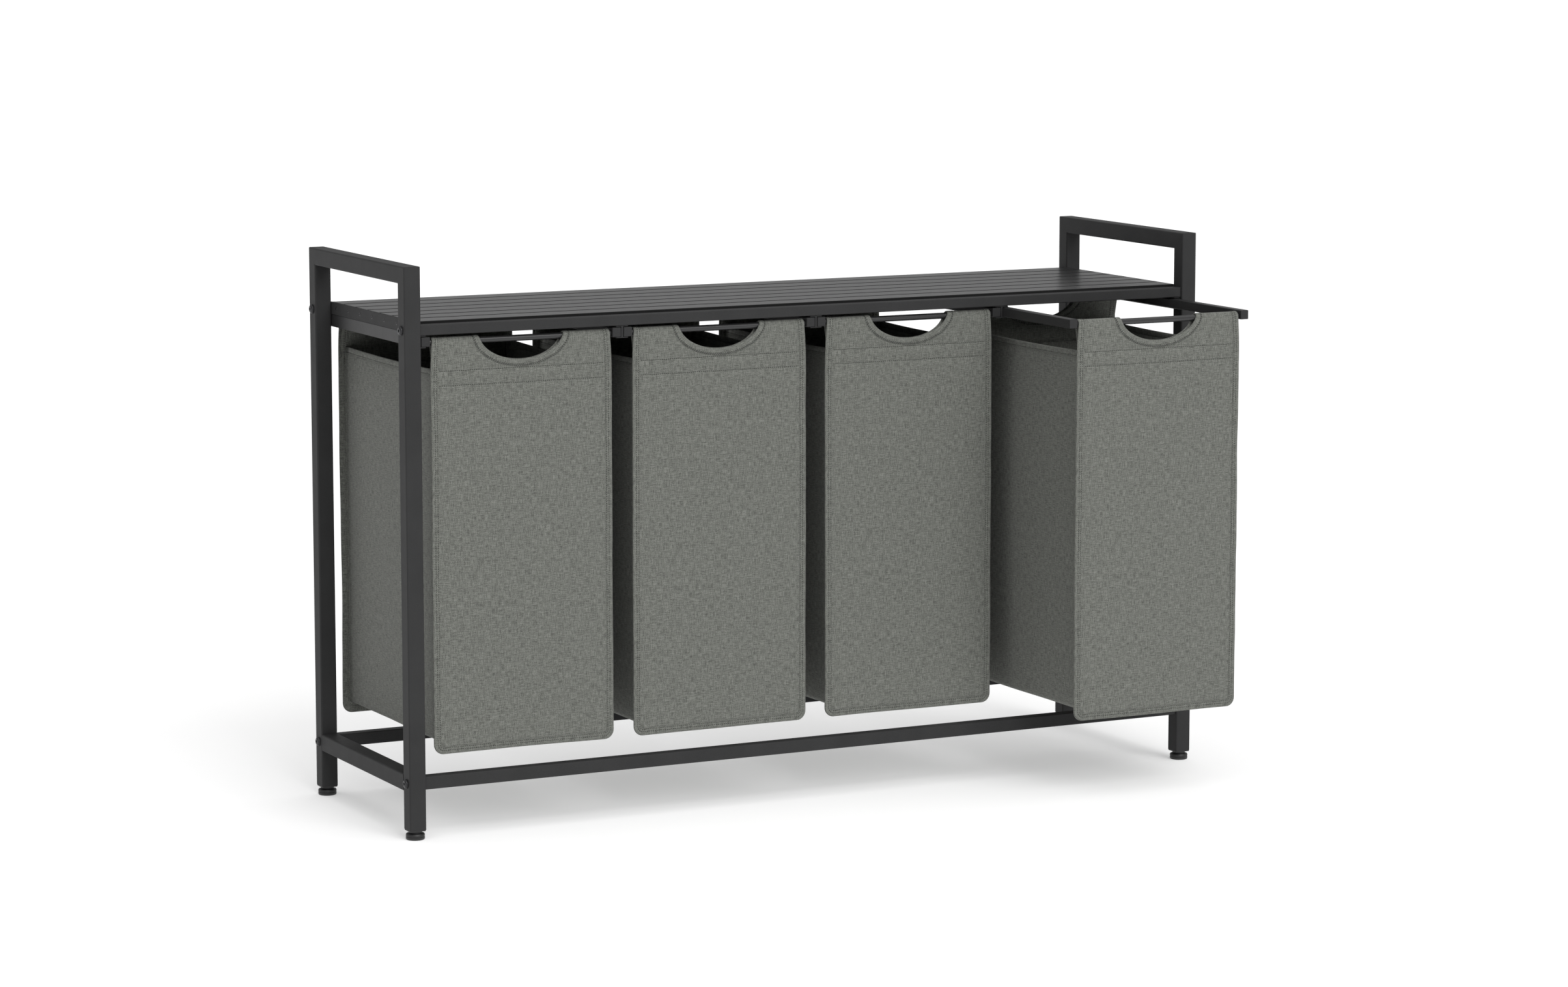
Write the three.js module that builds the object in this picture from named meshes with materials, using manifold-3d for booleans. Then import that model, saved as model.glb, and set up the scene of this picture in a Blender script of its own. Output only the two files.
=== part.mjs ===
// Laundry sorter: two welded end frames carry a slatted shelf, four fabric bags hang below it on
// pull-out steel frames, and each leg stands on a round levelling foot.
// Millimetres, +Z up, +X along the length, front towards -Y. Floor at Z = 0.
import * as THREE from 'three';
import { mergeVertices } from 'three/addons/utils/BufferGeometryUtils.js';
import Module from 'manifold-3d';

const wasm = await Module();
wasm.setup();

// ---- driving dimensions ---------------------------------------------------------------------

// Overall, over the legs and from the floor to the top of the end frames.
const WIDTH = 1145;
const DEPTH = 327;
const HEIGHT = 720;

// Clearances.
const WELD_GAP = 0.1; // between faces that are welded together
const SEAT_GAP = 0.3; // between loose pieces that rest on or pass through each other
const SLIDE_GAP = 0.5; // beside a pull-out rail in its track

// End frames: square tube.
const FRAME_TUBE = 22;
const FRAME_WALL = 1;
const FRAME_RADIUS = 2;
const LEG_PLUG = 24; // moulded end plug that takes the foot's thread
const SIDE_RAIL_CENTRE_Z = 71.5;

// Long rails near the floor, and the beams below the front and rear edges of the shelf.
const RAIL_DEPTH = 16;
const RAIL_HEIGHT = 16.5;
const BEAM_DEPTH = 16;
const BEAM_HEIGHT = 13;
const BEAM_TOP_Z = 647;
const LONG_WALL = 1;
const LONG_RADIUS = 1.2;
const END_BLOCK = 14; // threaded block inside each end of a long rail or beam

// Slatted shelf.
const SLAT_COUNT = 7;
const SLAT_GAP = 5; // between neighbouring slats
const SLAT_EDGE_GAP = 1.8; // between the outer slats and the beams
const SLAT_HEIGHT = 12;
const SLAT_WALL = 0.8;
const SLAT_RADIUS = 1;
const SHELF_TOP_Z = 650;
const END_PLATE_THICKNESS = 2;

// Tracks below the shelf that carry the pull-out frames.
const TRACK_SHEET = 1.2;
const TRACK_LIP = 8; // width of the lip under and over each rail
const TRACK_HEAD_GAP = 0.9; // over the rail

// Pull-out frames.
const BAG_COUNT = 4;
const BAG_RAIL = 12;
const BAG_RAIL_WALL = 1;
const BAG_RAIL_RADIUS = 1;
const BAG_RAIL_SET_BACK = 5; // from the front and rear of the legs when closed
const ROD_DIAMETER = 8;
const ROD_SIDES = 16;
const ROD_TOP_BELOW_RAIL = 3.2;
const PULLED_OUT = [0, 0, 0, 172]; // how far each bag stands open

// Fabric bags.
const CLOTH = 3; // stiffened panel
const SLEEVE_CLOTH = 1.5; // single cloth round the rod
const BAG_SIDE_GAP = 1; // between a front panel and its rail
const BAG_TOP_DROP = 1.5; // top edge of the cloth below the top of its rail
const PANEL_SET_BACK = 1; // outer face of a panel behind the end of its rails
const BAG_BOTTOM_Z = 106;
const FLANGE = 9; // sewn edge of the front and rear panels outside the side panels
const FLANGE_BOTTOM = 12;
const CORNER_RADIUS = 12;
const TOP_TAPER = 3; // top corners drawn in
const TOP_TAPER_LENGTH = 60;
const SIDE_DROP = 41; // top of the side panels below the top of the front panel
const GRIP_WIDTH = 116;
const GRIP_DEPTH = 32;
const GRIP_STEPS = 16;

// Button-head bolts through the legs.
const BOLT_DIAMETER = 6;
const BOLT_HEAD_DIAMETER = 12;
const BOLT_HEAD_HEIGHT = 3.2;
const BOLT_REACH = 10; // into the end block of the rail or beam
const BOLT_EDGE_SHARE = 0.25; // upright edge of the head, as a share of its height
const BOLT_DOME_STEPS = 4;
const BOLT_FLAT_RADIUS = 2.8; // flat top round the socket
const HEX_KEY = 4;
const HEX_DEPTH = 2;

// Flat steps that stand for a round.
const ROUND_SIDES = 16;
const EDGE_STEPS = 3; // round edge of a tube
const CORNER_STEPS = 5; // lower corners of a panel

// Levelling feet.
const FOOT_PAD_DIAMETER = 24;
const FOOT_PAD_HEIGHT = 8;
const FOOT_NECK_DIAMETER = 17;
const FOOT_HEIGHT = 12.5; // floor to the bottom of the leg, screwed fully in
const FOOT_STUD_DIAMETER = 8;
const FOOT_STUD_LENGTH = 20;
const FOOT_CHAMFER = 1.2;
const FOOT_SIDES = 20;

// ---- sizes that follow ----------------------------------------------------------------------

const legX = WIDTH / 2 - FRAME_TUBE / 2;
const legY = DEPTH / 2 - FRAME_TUBE / 2;
const innerX = WIDTH / 2 - FRAME_TUBE; // inner face of the legs, on the length
const innerY = DEPTH / 2 - FRAME_TUBE; // inner face of the legs, on the depth
const beamCentreZ = BEAM_TOP_Z - BEAM_HEIGHT / 2;
const beamBottomZ = BEAM_TOP_Z - BEAM_HEIGHT;
const beamInnerY = legY - BEAM_DEPTH / 2;

const slatSpan = 2 * (beamInnerY - SLAT_EDGE_GAP);
const slatWidth = (slatSpan - (SLAT_COUNT - 1) * SLAT_GAP) / SLAT_COUNT;
const slatPitch = slatWidth + SLAT_GAP;
const slatEndX = innerX - END_PLATE_THICKNESS - SEAT_GAP;

const trackTopZ = beamBottomZ - SEAT_GAP;
const bagRailTopZ = trackTopZ - TRACK_SHEET - TRACK_HEAD_GAP;
const bagRailCentreZ = bagRailTopZ - BAG_RAIL / 2;
const trackBottomZ = bagRailTopZ - BAG_RAIL - SEAT_GAP - TRACK_SHEET;

const bayPitch = (WIDTH - 2 * FRAME_TUBE) / BAG_COUNT;
const railOffsetX = bayPitch / 2 - WELD_GAP - TRACK_SHEET - SLIDE_GAP - BAG_RAIL / 2;
const bagRailLength = DEPTH - 2 * BAG_RAIL_SET_BACK; // and the tracks'
const panelWidth = 2 * (railOffsetX - BAG_RAIL / 2 - BAG_SIDE_GAP);
const bagTopZ = bagRailTopZ - BAG_TOP_DROP;
const sideTopZ = bagTopZ - SIDE_DROP;
const rodZ = bagRailTopZ - ROD_TOP_BELOW_RAIL - ROD_DIAMETER / 2;
const sleeveBore = ROD_DIAMETER / 2 + SEAT_GAP;
const sleeveRadius = sleeveBore + SLEEVE_CLOTH;
const panelY = bagRailLength / 2 - PANEL_SET_BACK; // outer face of the front and rear panels
const rodY = panelY - sleeveRadius;

// The part's origin is under the middle of everything, the open bag included.
const frontY = Math.min(-DEPTH / 2, -bagRailLength / 2 - Math.max(...PULLED_OUT));
const originY = (frontY + DEPTH / 2) / 2;

// ---- materials ------------------------------------------------------------------------------

const paint = (name, color, roughness, metalness) =>
  new THREE.MeshStandardMaterial({ name, color, roughness, metalness });
const framePaint = () => paint('frame_paint', 0x47474a, 0.5, 0.4);
const slatPaint = () => paint('slat_paint', 0x5a5658, 0.45, 0.4);
const railPaint = () => paint('rail_paint', 0x414143, 0.5, 0.4);
const bagCloth = () => paint('bag_cloth', 0x75766f, 0.95, 0);
const footPlastic = () => paint('foot_plastic', 0x2c2c2d, 0.6, 0);
const boltSteel = () => paint('bolt_steel', 0x37373a, 0.35, 0.8);

// ---- solids ---------------------------------------------------------------------------------

// A closed three.js geometry as a manifold solid.
function toSolid(geometry) {
  const bare = geometry.clone();
  bare.deleteAttribute('normal');
  bare.deleteAttribute('uv');
  const merged = mergeVertices(bare, 1e-4);
  return new wasm.Manifold(new wasm.Mesh({
    numProp: 3,
    vertProperties: new Float32Array(merged.attributes.position.array),
    triVerts: new Uint32Array(merged.index.array),
  }));
}

// A manifold solid as a flat-shaded three.js geometry.
function toGeometry(solid) {
  const mesh = solid.getMesh();
  const indexed = new THREE.BufferGeometry();
  indexed.setAttribute('position', new THREE.BufferAttribute(new Float32Array(mesh.vertProperties), 3));
  indexed.setIndex(new THREE.BufferAttribute(new Uint32Array(mesh.triVerts), 1));
  const flat = indexed.toNonIndexed();
  flat.computeVertexNormals();
  return flat;
}

// Outline of a rectangle with round corners, centred.
function roundedOutline(a, b, radius) {
  const outline = new THREE.Shape();
  const x = a / 2 - radius;
  const y = b / 2 - radius;
  outline.absarc(x, -y, radius, -Math.PI / 2, 0, false);
  outline.absarc(x, y, radius, 0, Math.PI / 2, false);
  outline.absarc(-x, y, radius, Math.PI / 2, Math.PI, false);
  outline.absarc(-x, -y, radius, Math.PI, Math.PI * 1.5, false);
  return outline;
}

// Turns a prism that runs along Z so that it runs along another axis; the outline's first and
// second directions become Y and Z along X, or Z and X along Y.
const turns = {
  x: new THREE.Matrix4().makeBasis(
    new THREE.Vector3(0, 1, 0), new THREE.Vector3(0, 0, 1), new THREE.Vector3(1, 0, 0)),
  y: new THREE.Matrix4().makeBasis(
    new THREE.Vector3(0, 0, 1), new THREE.Vector3(1, 0, 0), new THREE.Vector3(0, 1, 0)),
  z: new THREE.Matrix4(),
};

// A prism of an outline along an axis, centred on its length.
function prism(axis, outline, length) {
  const options = { depth: length, bevelEnabled: false, curveSegments: EDGE_STEPS };
  const geometry = new THREE.ExtrudeGeometry(outline, options);
  geometry.translate(0, 0, -length / 2);
  return geometry.applyMatrix4(turns[axis]);
}

function box(x, y, z) {
  return toSolid(new THREE.BoxGeometry(x, y, z));
}

// A rectangular tube along X, open at both ends.
function tubeX(y, z, wall, radius, length) {
  const outer = toSolid(prism('x', roundedOutline(y, z, radius), length));
  return toGeometry(outer.subtract(box(2 * length, y - 2 * wall, z - 2 * wall)));
}

// A square tube along Y, open at both ends.
function tubeY(size, wall, radius, length) {
  const outer = toSolid(prism('y', roundedOutline(size, size, radius), length));
  return toGeometry(outer.subtract(box(size - 2 * wall, 2 * length, size - 2 * wall)));
}

// A round bar along X, centred.
function barX(diameter, length, sides = ROUND_SIDES) {
  return new THREE.CylinderGeometry(diameter / 2, diameter / 2, length, sides).rotateZ(Math.PI / 2);
}

// ---- the model ------------------------------------------------------------------------------

const model = new THREE.Group();
model.position.y = -originY;

function addMesh(name, geometry, material, x = 0, y = 0, z = 0) {
  const mesh = new THREE.Mesh(geometry, material);
  mesh.name = name;
  mesh.position.set(x, y, z);
  model.add(mesh);
  return mesh;
}

const sides = [{ name: 'left', x: -1 }, { name: 'right', x: 1 }];
const ends = [{ name: 'front', y: -1 }, { name: 'rear', y: 1 }];

// ---- end frames -----------------------------------------------------------------------------

// Leg with its top mitred towards the other leg, holes for its two bolts and a plug at the foot.
function legGeometry(endSign) {
  const length = HEIGHT - FOOT_HEIGHT;
  const outer = prism('z', roundedOutline(FRAME_TUBE, FRAME_TUBE, FRAME_RADIUS), length);
  outer.translate(0, 0, FOOT_HEIGHT + length / 2);
  const points = outer.attributes.position;
  for (let i = 0; i < points.count; i += 1) {
    if (points.getZ(i) > HEIGHT / 2) {
      const fromOuterFace = FRAME_TUBE / 2 - endSign * points.getY(i);
      points.setZ(i, HEIGHT - WELD_GAP - fromOuterFace);
    }
  }
  const bore = FRAME_TUBE - 2 * FRAME_WALL;
  const hollow = box(bore, bore, HEIGHT).translate([0, 0, FOOT_HEIGHT + LEG_PLUG + HEIGHT / 2]);
  const thread = toSolid(
    new THREE.CylinderGeometry(1, 1, 3 * LEG_PLUG, ROUND_SIDES)
      .rotateX(Math.PI / 2)
      .scale(FOOT_STUD_DIAMETER / 2 + SEAT_GAP, FOOT_STUD_DIAMETER / 2 + SEAT_GAP, 1)
      .translate(0, 0, FOOT_HEIGHT));
  let leg = toSolid(outer).subtract(hollow).subtract(thread);
  for (const z of [beamCentreZ, SIDE_RAIL_CENTRE_Z]) {
    const hole = toSolid(barX(BOLT_DIAMETER + 2 * SEAT_GAP, 2 * FRAME_TUBE));
    leg = leg.subtract(hole.translate([0, 0, z]));
  }
  return toGeometry(leg);
}

// Top bar with both ends mitred down to the legs; it is the carrying handle.
function topBarGeometry() {
  const outer = prism('y', roundedOutline(FRAME_TUBE, FRAME_TUBE, FRAME_RADIUS), DEPTH);
  const points = outer.attributes.position;
  for (let i = 0; i < points.count; i += 1) {
    const belowTop = FRAME_TUBE / 2 - points.getZ(i);
    points.setY(i, Math.sign(points.getY(i)) * (DEPTH / 2 - belowTop));
  }
  const bore = FRAME_TUBE - 2 * FRAME_WALL;
  return toGeometry(toSolid(outer).subtract(box(bore, 2 * DEPTH, bore)));
}

for (const side of sides) {
  for (const end of ends) {
    addMesh(`${side.name}_${end.name}_leg`, legGeometry(end.y), framePaint(), side.x * legX, end.y * legY, 0);
  }
  addMesh(`${side.name}_top_bar`, topBarGeometry(), framePaint(), side.x * legX, 0, HEIGHT - FRAME_TUBE / 2);
  const sideRail = tubeY(FRAME_TUBE, FRAME_WALL, FRAME_RADIUS, 2 * (innerY - WELD_GAP));
  addMesh(`${side.name}_side_rail`, sideRail, framePaint(), side.x * legX, 0, SIDE_RAIL_CENTRE_Z);
}

// ---- long rails, beams and the shelf --------------------------------------------------------

// Tube between the legs with a threaded block closing each end.
function longMemberGeometry(depth, height) {
  const length = 2 * (innerX - WELD_GAP);
  const outer = toSolid(prism('x', roundedOutline(depth, height, LONG_RADIUS), length));
  const hollow = box(length - 2 * END_BLOCK, depth - 2 * LONG_WALL, height - 2 * LONG_WALL);
  const thread = toSolid(barX(BOLT_DIAMETER + 2 * SEAT_GAP, 2 * length));
  return toGeometry(outer.subtract(hollow).subtract(thread));
}

for (const end of ends) {
  const lower = longMemberGeometry(RAIL_DEPTH, RAIL_HEIGHT);
  addMesh(`${end.name}_lower_rail`, lower, framePaint(), 0, end.y * legY, SIDE_RAIL_CENTRE_Z);
  const beam = longMemberGeometry(BEAM_DEPTH, BEAM_HEIGHT);
  addMesh(`shelf_${end.name}_beam`, beam, framePaint(), 0, end.y * legY, beamCentreZ);
}

// Plates across the ends of the slats, one screw to a slat.
const endPlateHeight = SHELF_TOP_Z - beamBottomZ;
for (const side of sides) {
  const plate = new THREE.BoxGeometry(END_PLATE_THICKNESS, 2 * (beamInnerY - WELD_GAP), endPlateHeight);
  const plateX = side.x * (innerX - END_PLATE_THICKNESS / 2);
  addMesh(`shelf_${side.name}_end_plate`, plate, framePaint(), plateX, 0, beamBottomZ + endPlateHeight / 2);
}

for (let i = 0; i < SLAT_COUNT; i += 1) {
  const slat = tubeX(slatWidth, SLAT_HEIGHT, SLAT_WALL, SLAT_RADIUS, 2 * slatEndX);
  const y = (i - (SLAT_COUNT - 1) / 2) * slatPitch;
  addMesh(`shelf_slat_${i + 1}`, slat, slatPaint(), 0, y, SHELF_TOP_Z - SLAT_HEIGHT / 2);
}

// ---- tracks ---------------------------------------------------------------------------------

// Sheet-steel channel; `openSides` lists the sides, -1 or +1 on X, on which a rail runs.
function trackGeometry(openSides) {
  const height = trackTopZ - trackBottomZ;
  let track = null;
  for (const open of openSides) {
    const web = box(TRACK_SHEET, bagRailLength, height).translate([open * TRACK_SHEET / 2, 0, 0]);
    const lip = box(TRACK_LIP, bagRailLength, TRACK_SHEET);
    const reach = open * TRACK_LIP / 2;
    const drop = (height - TRACK_SHEET) / 2;
    const channel = web.add(lip.translate([reach, 0, -drop])).add(lip.translate([reach, 0, drop]));
    track = track ? track.add(channel) : channel;
  }
  return toGeometry(track);
}

const trackZ = (trackTopZ + trackBottomZ) / 2;
for (let i = 0; i <= BAG_COUNT; i += 1) {
  const openSides = [i > 0 ? -1 : null, i < BAG_COUNT ? 1 : null].filter((side) => side !== null);
  let x = -innerX + i * bayPitch;
  if (i === 0) x += WELD_GAP;
  if (i === BAG_COUNT) x -= WELD_GAP;
  addMesh(`track_${i + 1}`, trackGeometry(openSides), railPaint(), x, 0, trackZ);
}

// ---- pull-out bag frames and bags -----------------------------------------------------------

// Front or rear panel, in X and Z: round bottom corners, drawn-in top corners, half-moon grip.
function panelOutline() {
  const half = panelWidth / 2;
  const cornerX = half - CORNER_RADIUS;
  const cornerZ = BAG_BOTTOM_Z + CORNER_RADIUS;
  const shape = new THREE.Shape();
  shape.absarc(cornerX, cornerZ, CORNER_RADIUS, -Math.PI / 2, 0, false);
  shape.lineTo(half, bagTopZ - TOP_TAPER_LENGTH);
  shape.lineTo(half - TOP_TAPER, bagTopZ);
  for (let i = 0; i <= GRIP_STEPS; i += 1) {
    const angle = -(Math.PI * i) / GRIP_STEPS;
    shape.lineTo((GRIP_WIDTH / 2) * Math.cos(angle), bagTopZ + GRIP_DEPTH * Math.sin(angle));
  }
  shape.lineTo(-half + TOP_TAPER, bagTopZ);
  shape.lineTo(-half, bagTopZ - TOP_TAPER_LENGTH);
  shape.absarc(-cornerX, cornerZ, CORNER_RADIUS, Math.PI, Math.PI * 1.5, false);
  return shape;
}

// Panel at one end of the bag with the cloth sleeves that hang on the rod.
function panelSolid(endSign) {
  const options = { depth: CLOTH, bevelEnabled: false, curveSegments: CORNER_STEPS };
  const flat = new THREE.ExtrudeGeometry(panelOutline(), options);
  flat.rotateX(Math.PI / 2);
  const outerY = endSign * panelY;
  flat.translate(0, endSign > 0 ? panelY : -panelY + CLOTH, 0);
  const sleeveY = endSign * rodY;
  const halfTop = panelWidth / 2 - TOP_TAPER;
  const sleeveLength = halfTop - GRIP_WIDTH / 2;
  const sleeve = toSolid(barX(2 * sleeveRadius, sleeveLength));
  const offset = (halfTop + GRIP_WIDTH / 2) / 2;
  let solid = toSolid(flat);
  for (const side of sides) solid = solid.add(sleeve.translate([side.x * offset, sleeveY, rodZ]));
  const bore = toSolid(barX(2 * sleeveBore, 2 * panelWidth)).translate([0, sleeveY, rodZ]);
  return { solid: solid.subtract(bore), innerY: outerY - endSign * CLOTH };
}

// The whole bag as one shell: two panels, two lower side panels and a bottom, open at the top.
function bagGeometry() {
  const front = panelSolid(-1);
  const rear = panelSolid(1);
  const overlap = CLOTH / 2;
  const depth = rear.innerY - front.innerY + 2 * overlap;
  const wellWidth = panelWidth - 2 * FLANGE;
  const wellBottomZ = BAG_BOTTOM_Z + FLANGE_BOTTOM;
  const sideHeight = sideTopZ - wellBottomZ;
  let bag = front.solid.add(rear.solid);
  for (const side of sides) {
    const panel = box(CLOTH, depth, sideHeight);
    bag = bag.add(panel.translate([side.x * (wellWidth - CLOTH) / 2, 0, wellBottomZ + sideHeight / 2]));
  }
  const bottom = box(wellWidth, depth, CLOTH).translate([0, 0, wellBottomZ + CLOTH / 2]);
  return toGeometry(bag.add(bottom));
}

for (let i = 0; i < BAG_COUNT; i += 1) {
  const name = `bag_${i + 1}`;
  const x = (i - (BAG_COUNT - 1) / 2) * bayPitch;
  const y = -PULLED_OUT[i];
  for (const side of sides) {
    const rail = tubeY(BAG_RAIL, BAG_RAIL_WALL, BAG_RAIL_RADIUS, bagRailLength);
    addMesh(`${name}_${side.name}_rail`, rail, railPaint(), x + side.x * railOffsetX, y, bagRailCentreZ);
  }
  for (const end of ends) {
    const rod = barX(ROD_DIAMETER, 2 * (railOffsetX - BAG_RAIL / 2 - WELD_GAP), ROD_SIDES);
    addMesh(`${name}_${end.name}_rod`, rod, railPaint(), x, y + end.y * rodY, rodZ);
  }
  addMesh(`${name}_cloth`, bagGeometry(), bagCloth(), x, y, 0);
}

// ---- bolts ----------------------------------------------------------------------------------

// Button head with a hexagon socket; the axis is Z with the head at the top, its seat at Z = 0.
function boltGeometry() {
  const shank = FRAME_TUBE + WELD_GAP + BOLT_REACH;
  const head = BOLT_HEAD_DIAMETER / 2;
  const crown = [];
  for (let i = 0; i <= BOLT_DOME_STEPS; i += 1) {
    const angle = (i * Math.PI) / (2 * BOLT_DOME_STEPS);
    const rise = BOLT_EDGE_SHARE + (1 - BOLT_EDGE_SHARE) * Math.sin(angle);
    const radius = BOLT_FLAT_RADIUS + (head - BOLT_FLAT_RADIUS) * Math.cos(angle);
    crown.push(new THREE.Vector2(radius, SEAT_GAP + BOLT_HEAD_HEIGHT * rise));
  }
  const profile = [
    new THREE.Vector2(0, -shank),
    new THREE.Vector2(BOLT_DIAMETER / 2, -shank),
    new THREE.Vector2(BOLT_DIAMETER / 2, SEAT_GAP),
    new THREE.Vector2(head, SEAT_GAP),
    ...crown,
    new THREE.Vector2(0, SEAT_GAP + BOLT_HEAD_HEIGHT),
  ];
  const turned = new THREE.LatheGeometry(profile, ROUND_SIDES).rotateX(Math.PI / 2);
  const socket = new THREE.CylinderGeometry(HEX_KEY / Math.sqrt(3), HEX_KEY / Math.sqrt(3), 2 * HEX_DEPTH, 6)
    .rotateX(Math.PI / 2)
    .translate(0, 0, SEAT_GAP + BOLT_HEAD_HEIGHT);
  return toGeometry(toSolid(turned).subtract(toSolid(socket)));
}

for (const side of sides) {
  for (const end of ends) {
    for (const [level, z] of [['upper', beamCentreZ], ['lower', SIDE_RAIL_CENTRE_Z]]) {
      const name = `${side.name}_${end.name}_${level}_bolt`;
      const bolt = addMesh(name, boltGeometry(), boltSteel(), side.x * WIDTH / 2, end.y * legY, z);
      bolt.rotation.y = side.x * Math.PI / 2;
    }
  }
}

// ---- levelling feet -------------------------------------------------------------------------

// Round pad, neck and threaded stud, standing on the floor.
function footGeometry() {
  const pad = FOOT_PAD_DIAMETER / 2;
  const neckTop = FOOT_HEIGHT - SEAT_GAP;
  const profile = [
    [0, 0],
    [pad - FOOT_CHAMFER, 0],
    [pad, FOOT_CHAMFER],
    [pad, FOOT_PAD_HEIGHT - FOOT_CHAMFER],
    [pad - FOOT_CHAMFER, FOOT_PAD_HEIGHT],
    [FOOT_NECK_DIAMETER / 2, FOOT_PAD_HEIGHT],
    [FOOT_NECK_DIAMETER / 2, neckTop],
    [FOOT_STUD_DIAMETER / 2, neckTop],
    [FOOT_STUD_DIAMETER / 2, neckTop + FOOT_STUD_LENGTH],
    [0, neckTop + FOOT_STUD_LENGTH],
  ].map(([r, z]) => new THREE.Vector2(r, z));
  return new THREE.LatheGeometry(profile, FOOT_SIDES).rotateX(Math.PI / 2);
}

for (const side of sides) {
  for (const end of ends) {
    addMesh(`${side.name}_${end.name}_foot`, footGeometry(), footPlastic(), side.x * legX, end.y * legY, 0);
  }
}

export default model;
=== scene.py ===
import math

import bmesh
import bpy
from bpy.props import (FloatProperty, FloatVectorProperty, IntProperty,
                       PointerProperty)
from mathutils import Euler, Matrix, Vector, noise


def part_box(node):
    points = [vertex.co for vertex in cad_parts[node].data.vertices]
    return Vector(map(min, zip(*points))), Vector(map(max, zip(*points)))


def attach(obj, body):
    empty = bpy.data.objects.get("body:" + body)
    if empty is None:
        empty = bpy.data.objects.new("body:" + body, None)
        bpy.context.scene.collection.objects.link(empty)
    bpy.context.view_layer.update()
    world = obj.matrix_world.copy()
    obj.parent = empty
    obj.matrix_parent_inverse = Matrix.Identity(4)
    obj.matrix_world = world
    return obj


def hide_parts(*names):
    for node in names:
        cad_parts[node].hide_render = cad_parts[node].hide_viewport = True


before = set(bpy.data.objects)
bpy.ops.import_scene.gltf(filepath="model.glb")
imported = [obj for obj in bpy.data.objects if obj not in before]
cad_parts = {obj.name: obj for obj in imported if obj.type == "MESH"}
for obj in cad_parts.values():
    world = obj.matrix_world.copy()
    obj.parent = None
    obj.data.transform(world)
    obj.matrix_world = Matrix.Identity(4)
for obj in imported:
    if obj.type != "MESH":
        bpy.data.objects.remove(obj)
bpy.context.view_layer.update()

bl_info = {
    "name": "Laundry sorter",
    "version": (1, 0, 0),
    "blender": (4, 5, 0),
    "location": "3D View > Sidebar > Sorter",
    "description": "Dresses a laundry sorter: painted steel stand, four sewn linen bags, feet, bolts",
    "category": "Object",
}

MM = 0.001
BAGS = (1, 2, 3, 4)
SIDES = ("left", "right")
ENDS = ("front", "rear")
CORNERS = tuple((side, end) for side in SIDES for end in ENDS)
MERGE = 1e-6             # points nearer than this are one
BEND_STEP = 13 * MM      # widest spacing of the cuts that let cloth bend
EDGE_STEP = 12 * MM      # widest spacing of the points along a cut edge
GRIP_STEPS = 120         # points round a grip opening's tape and stitches
EDGE_ROWS = (7.6 * MM, 4.4 * MM)     # stitch rows of an edge tape, in from its edge
GRIP_ROWS = (7.9 * MM, 6.4 * MM)     # stitch rows of a grip tape
HEM_ROW = 6.6 * MM                   # stitch row of a side wall's hem
STITCH_WIDTH = 0.85 * MM
STITCH_HEIGHT = 0.42 * MM
STITCH_PINCH = 0.55      # a stitch's top against its foot
GROOVE_DEPTH = 0.45 * MM
GROOVE_REACH = 1.5 * MM  # how far to each side a row pulls the cloth in


# ---------------------------------------------------------------- settings

def colour_prop(name, description, value):
    """A colour that a user may change."""
    return FloatVectorProperty(name=name, description=description, subtype="COLOR", size=3,
                               min=0, max=1, default=value)


def length_prop(name, description, value, least=0.1 * MM):
    """A length that a user may change."""
    return FloatProperty(name=name, description=description, subtype="DISTANCE", unit="LENGTH",
                         min=least, default=value)


def angle_prop(name, description, value):
    """An angle that a user may change."""
    return FloatProperty(name=name, description=description, subtype="ANGLE", unit="ROTATION",
                         default=value)


def light_prop(name, description, value):
    """A light's strength that a user may change."""
    return FloatProperty(name=name, description=description, min=0, default=value)


class StandSettings(bpy.types.PropertyGroup):
    """Sizes and colours of the painted steel stand and its fittings."""
    paint: colour_prop(
        "Tube paint", "Powder coat of the legs, handles, rails and beams", (0.0330, 0.0330, 0.0334))
    slat_paint: colour_prop(
        "Slat paint", "Smoother paint of the shelf slats", (0.0220, 0.0220, 0.0226))
    rail_paint: colour_prop(
        "Rail paint", "Paint of the tracks, bag rails and rods", (0.0210, 0.0210, 0.0214))
    plastic: colour_prop(
        "Plastic", "Moulded plastic of the feet, plugs and end caps", (0.0120, 0.0120, 0.0122))
    steel: colour_prop("Blackened steel", "Finish of the bolts and screws", (0.030, 0.030, 0.032))
    socket_width: length_prop("Bolt socket", "Hexagon socket of a bolt across its flats", 4.0 * MM)
    screw_diameter: length_prop("Screw head", "Diameter of the screw at each slat end", 4.8 * MM)
    cap_lift: length_prop("End cap", "How far a bag rail's end cap stands out of the rail", 0.9 * MM)
    plug_height: length_prop("Leg plug rim", "Height of the plastic rim under each leg", 1.3 * MM)
    round_steps: IntProperty(
        name="Round steps", description="Flats round each turned piece", min=12, max=96, default=36)


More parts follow.
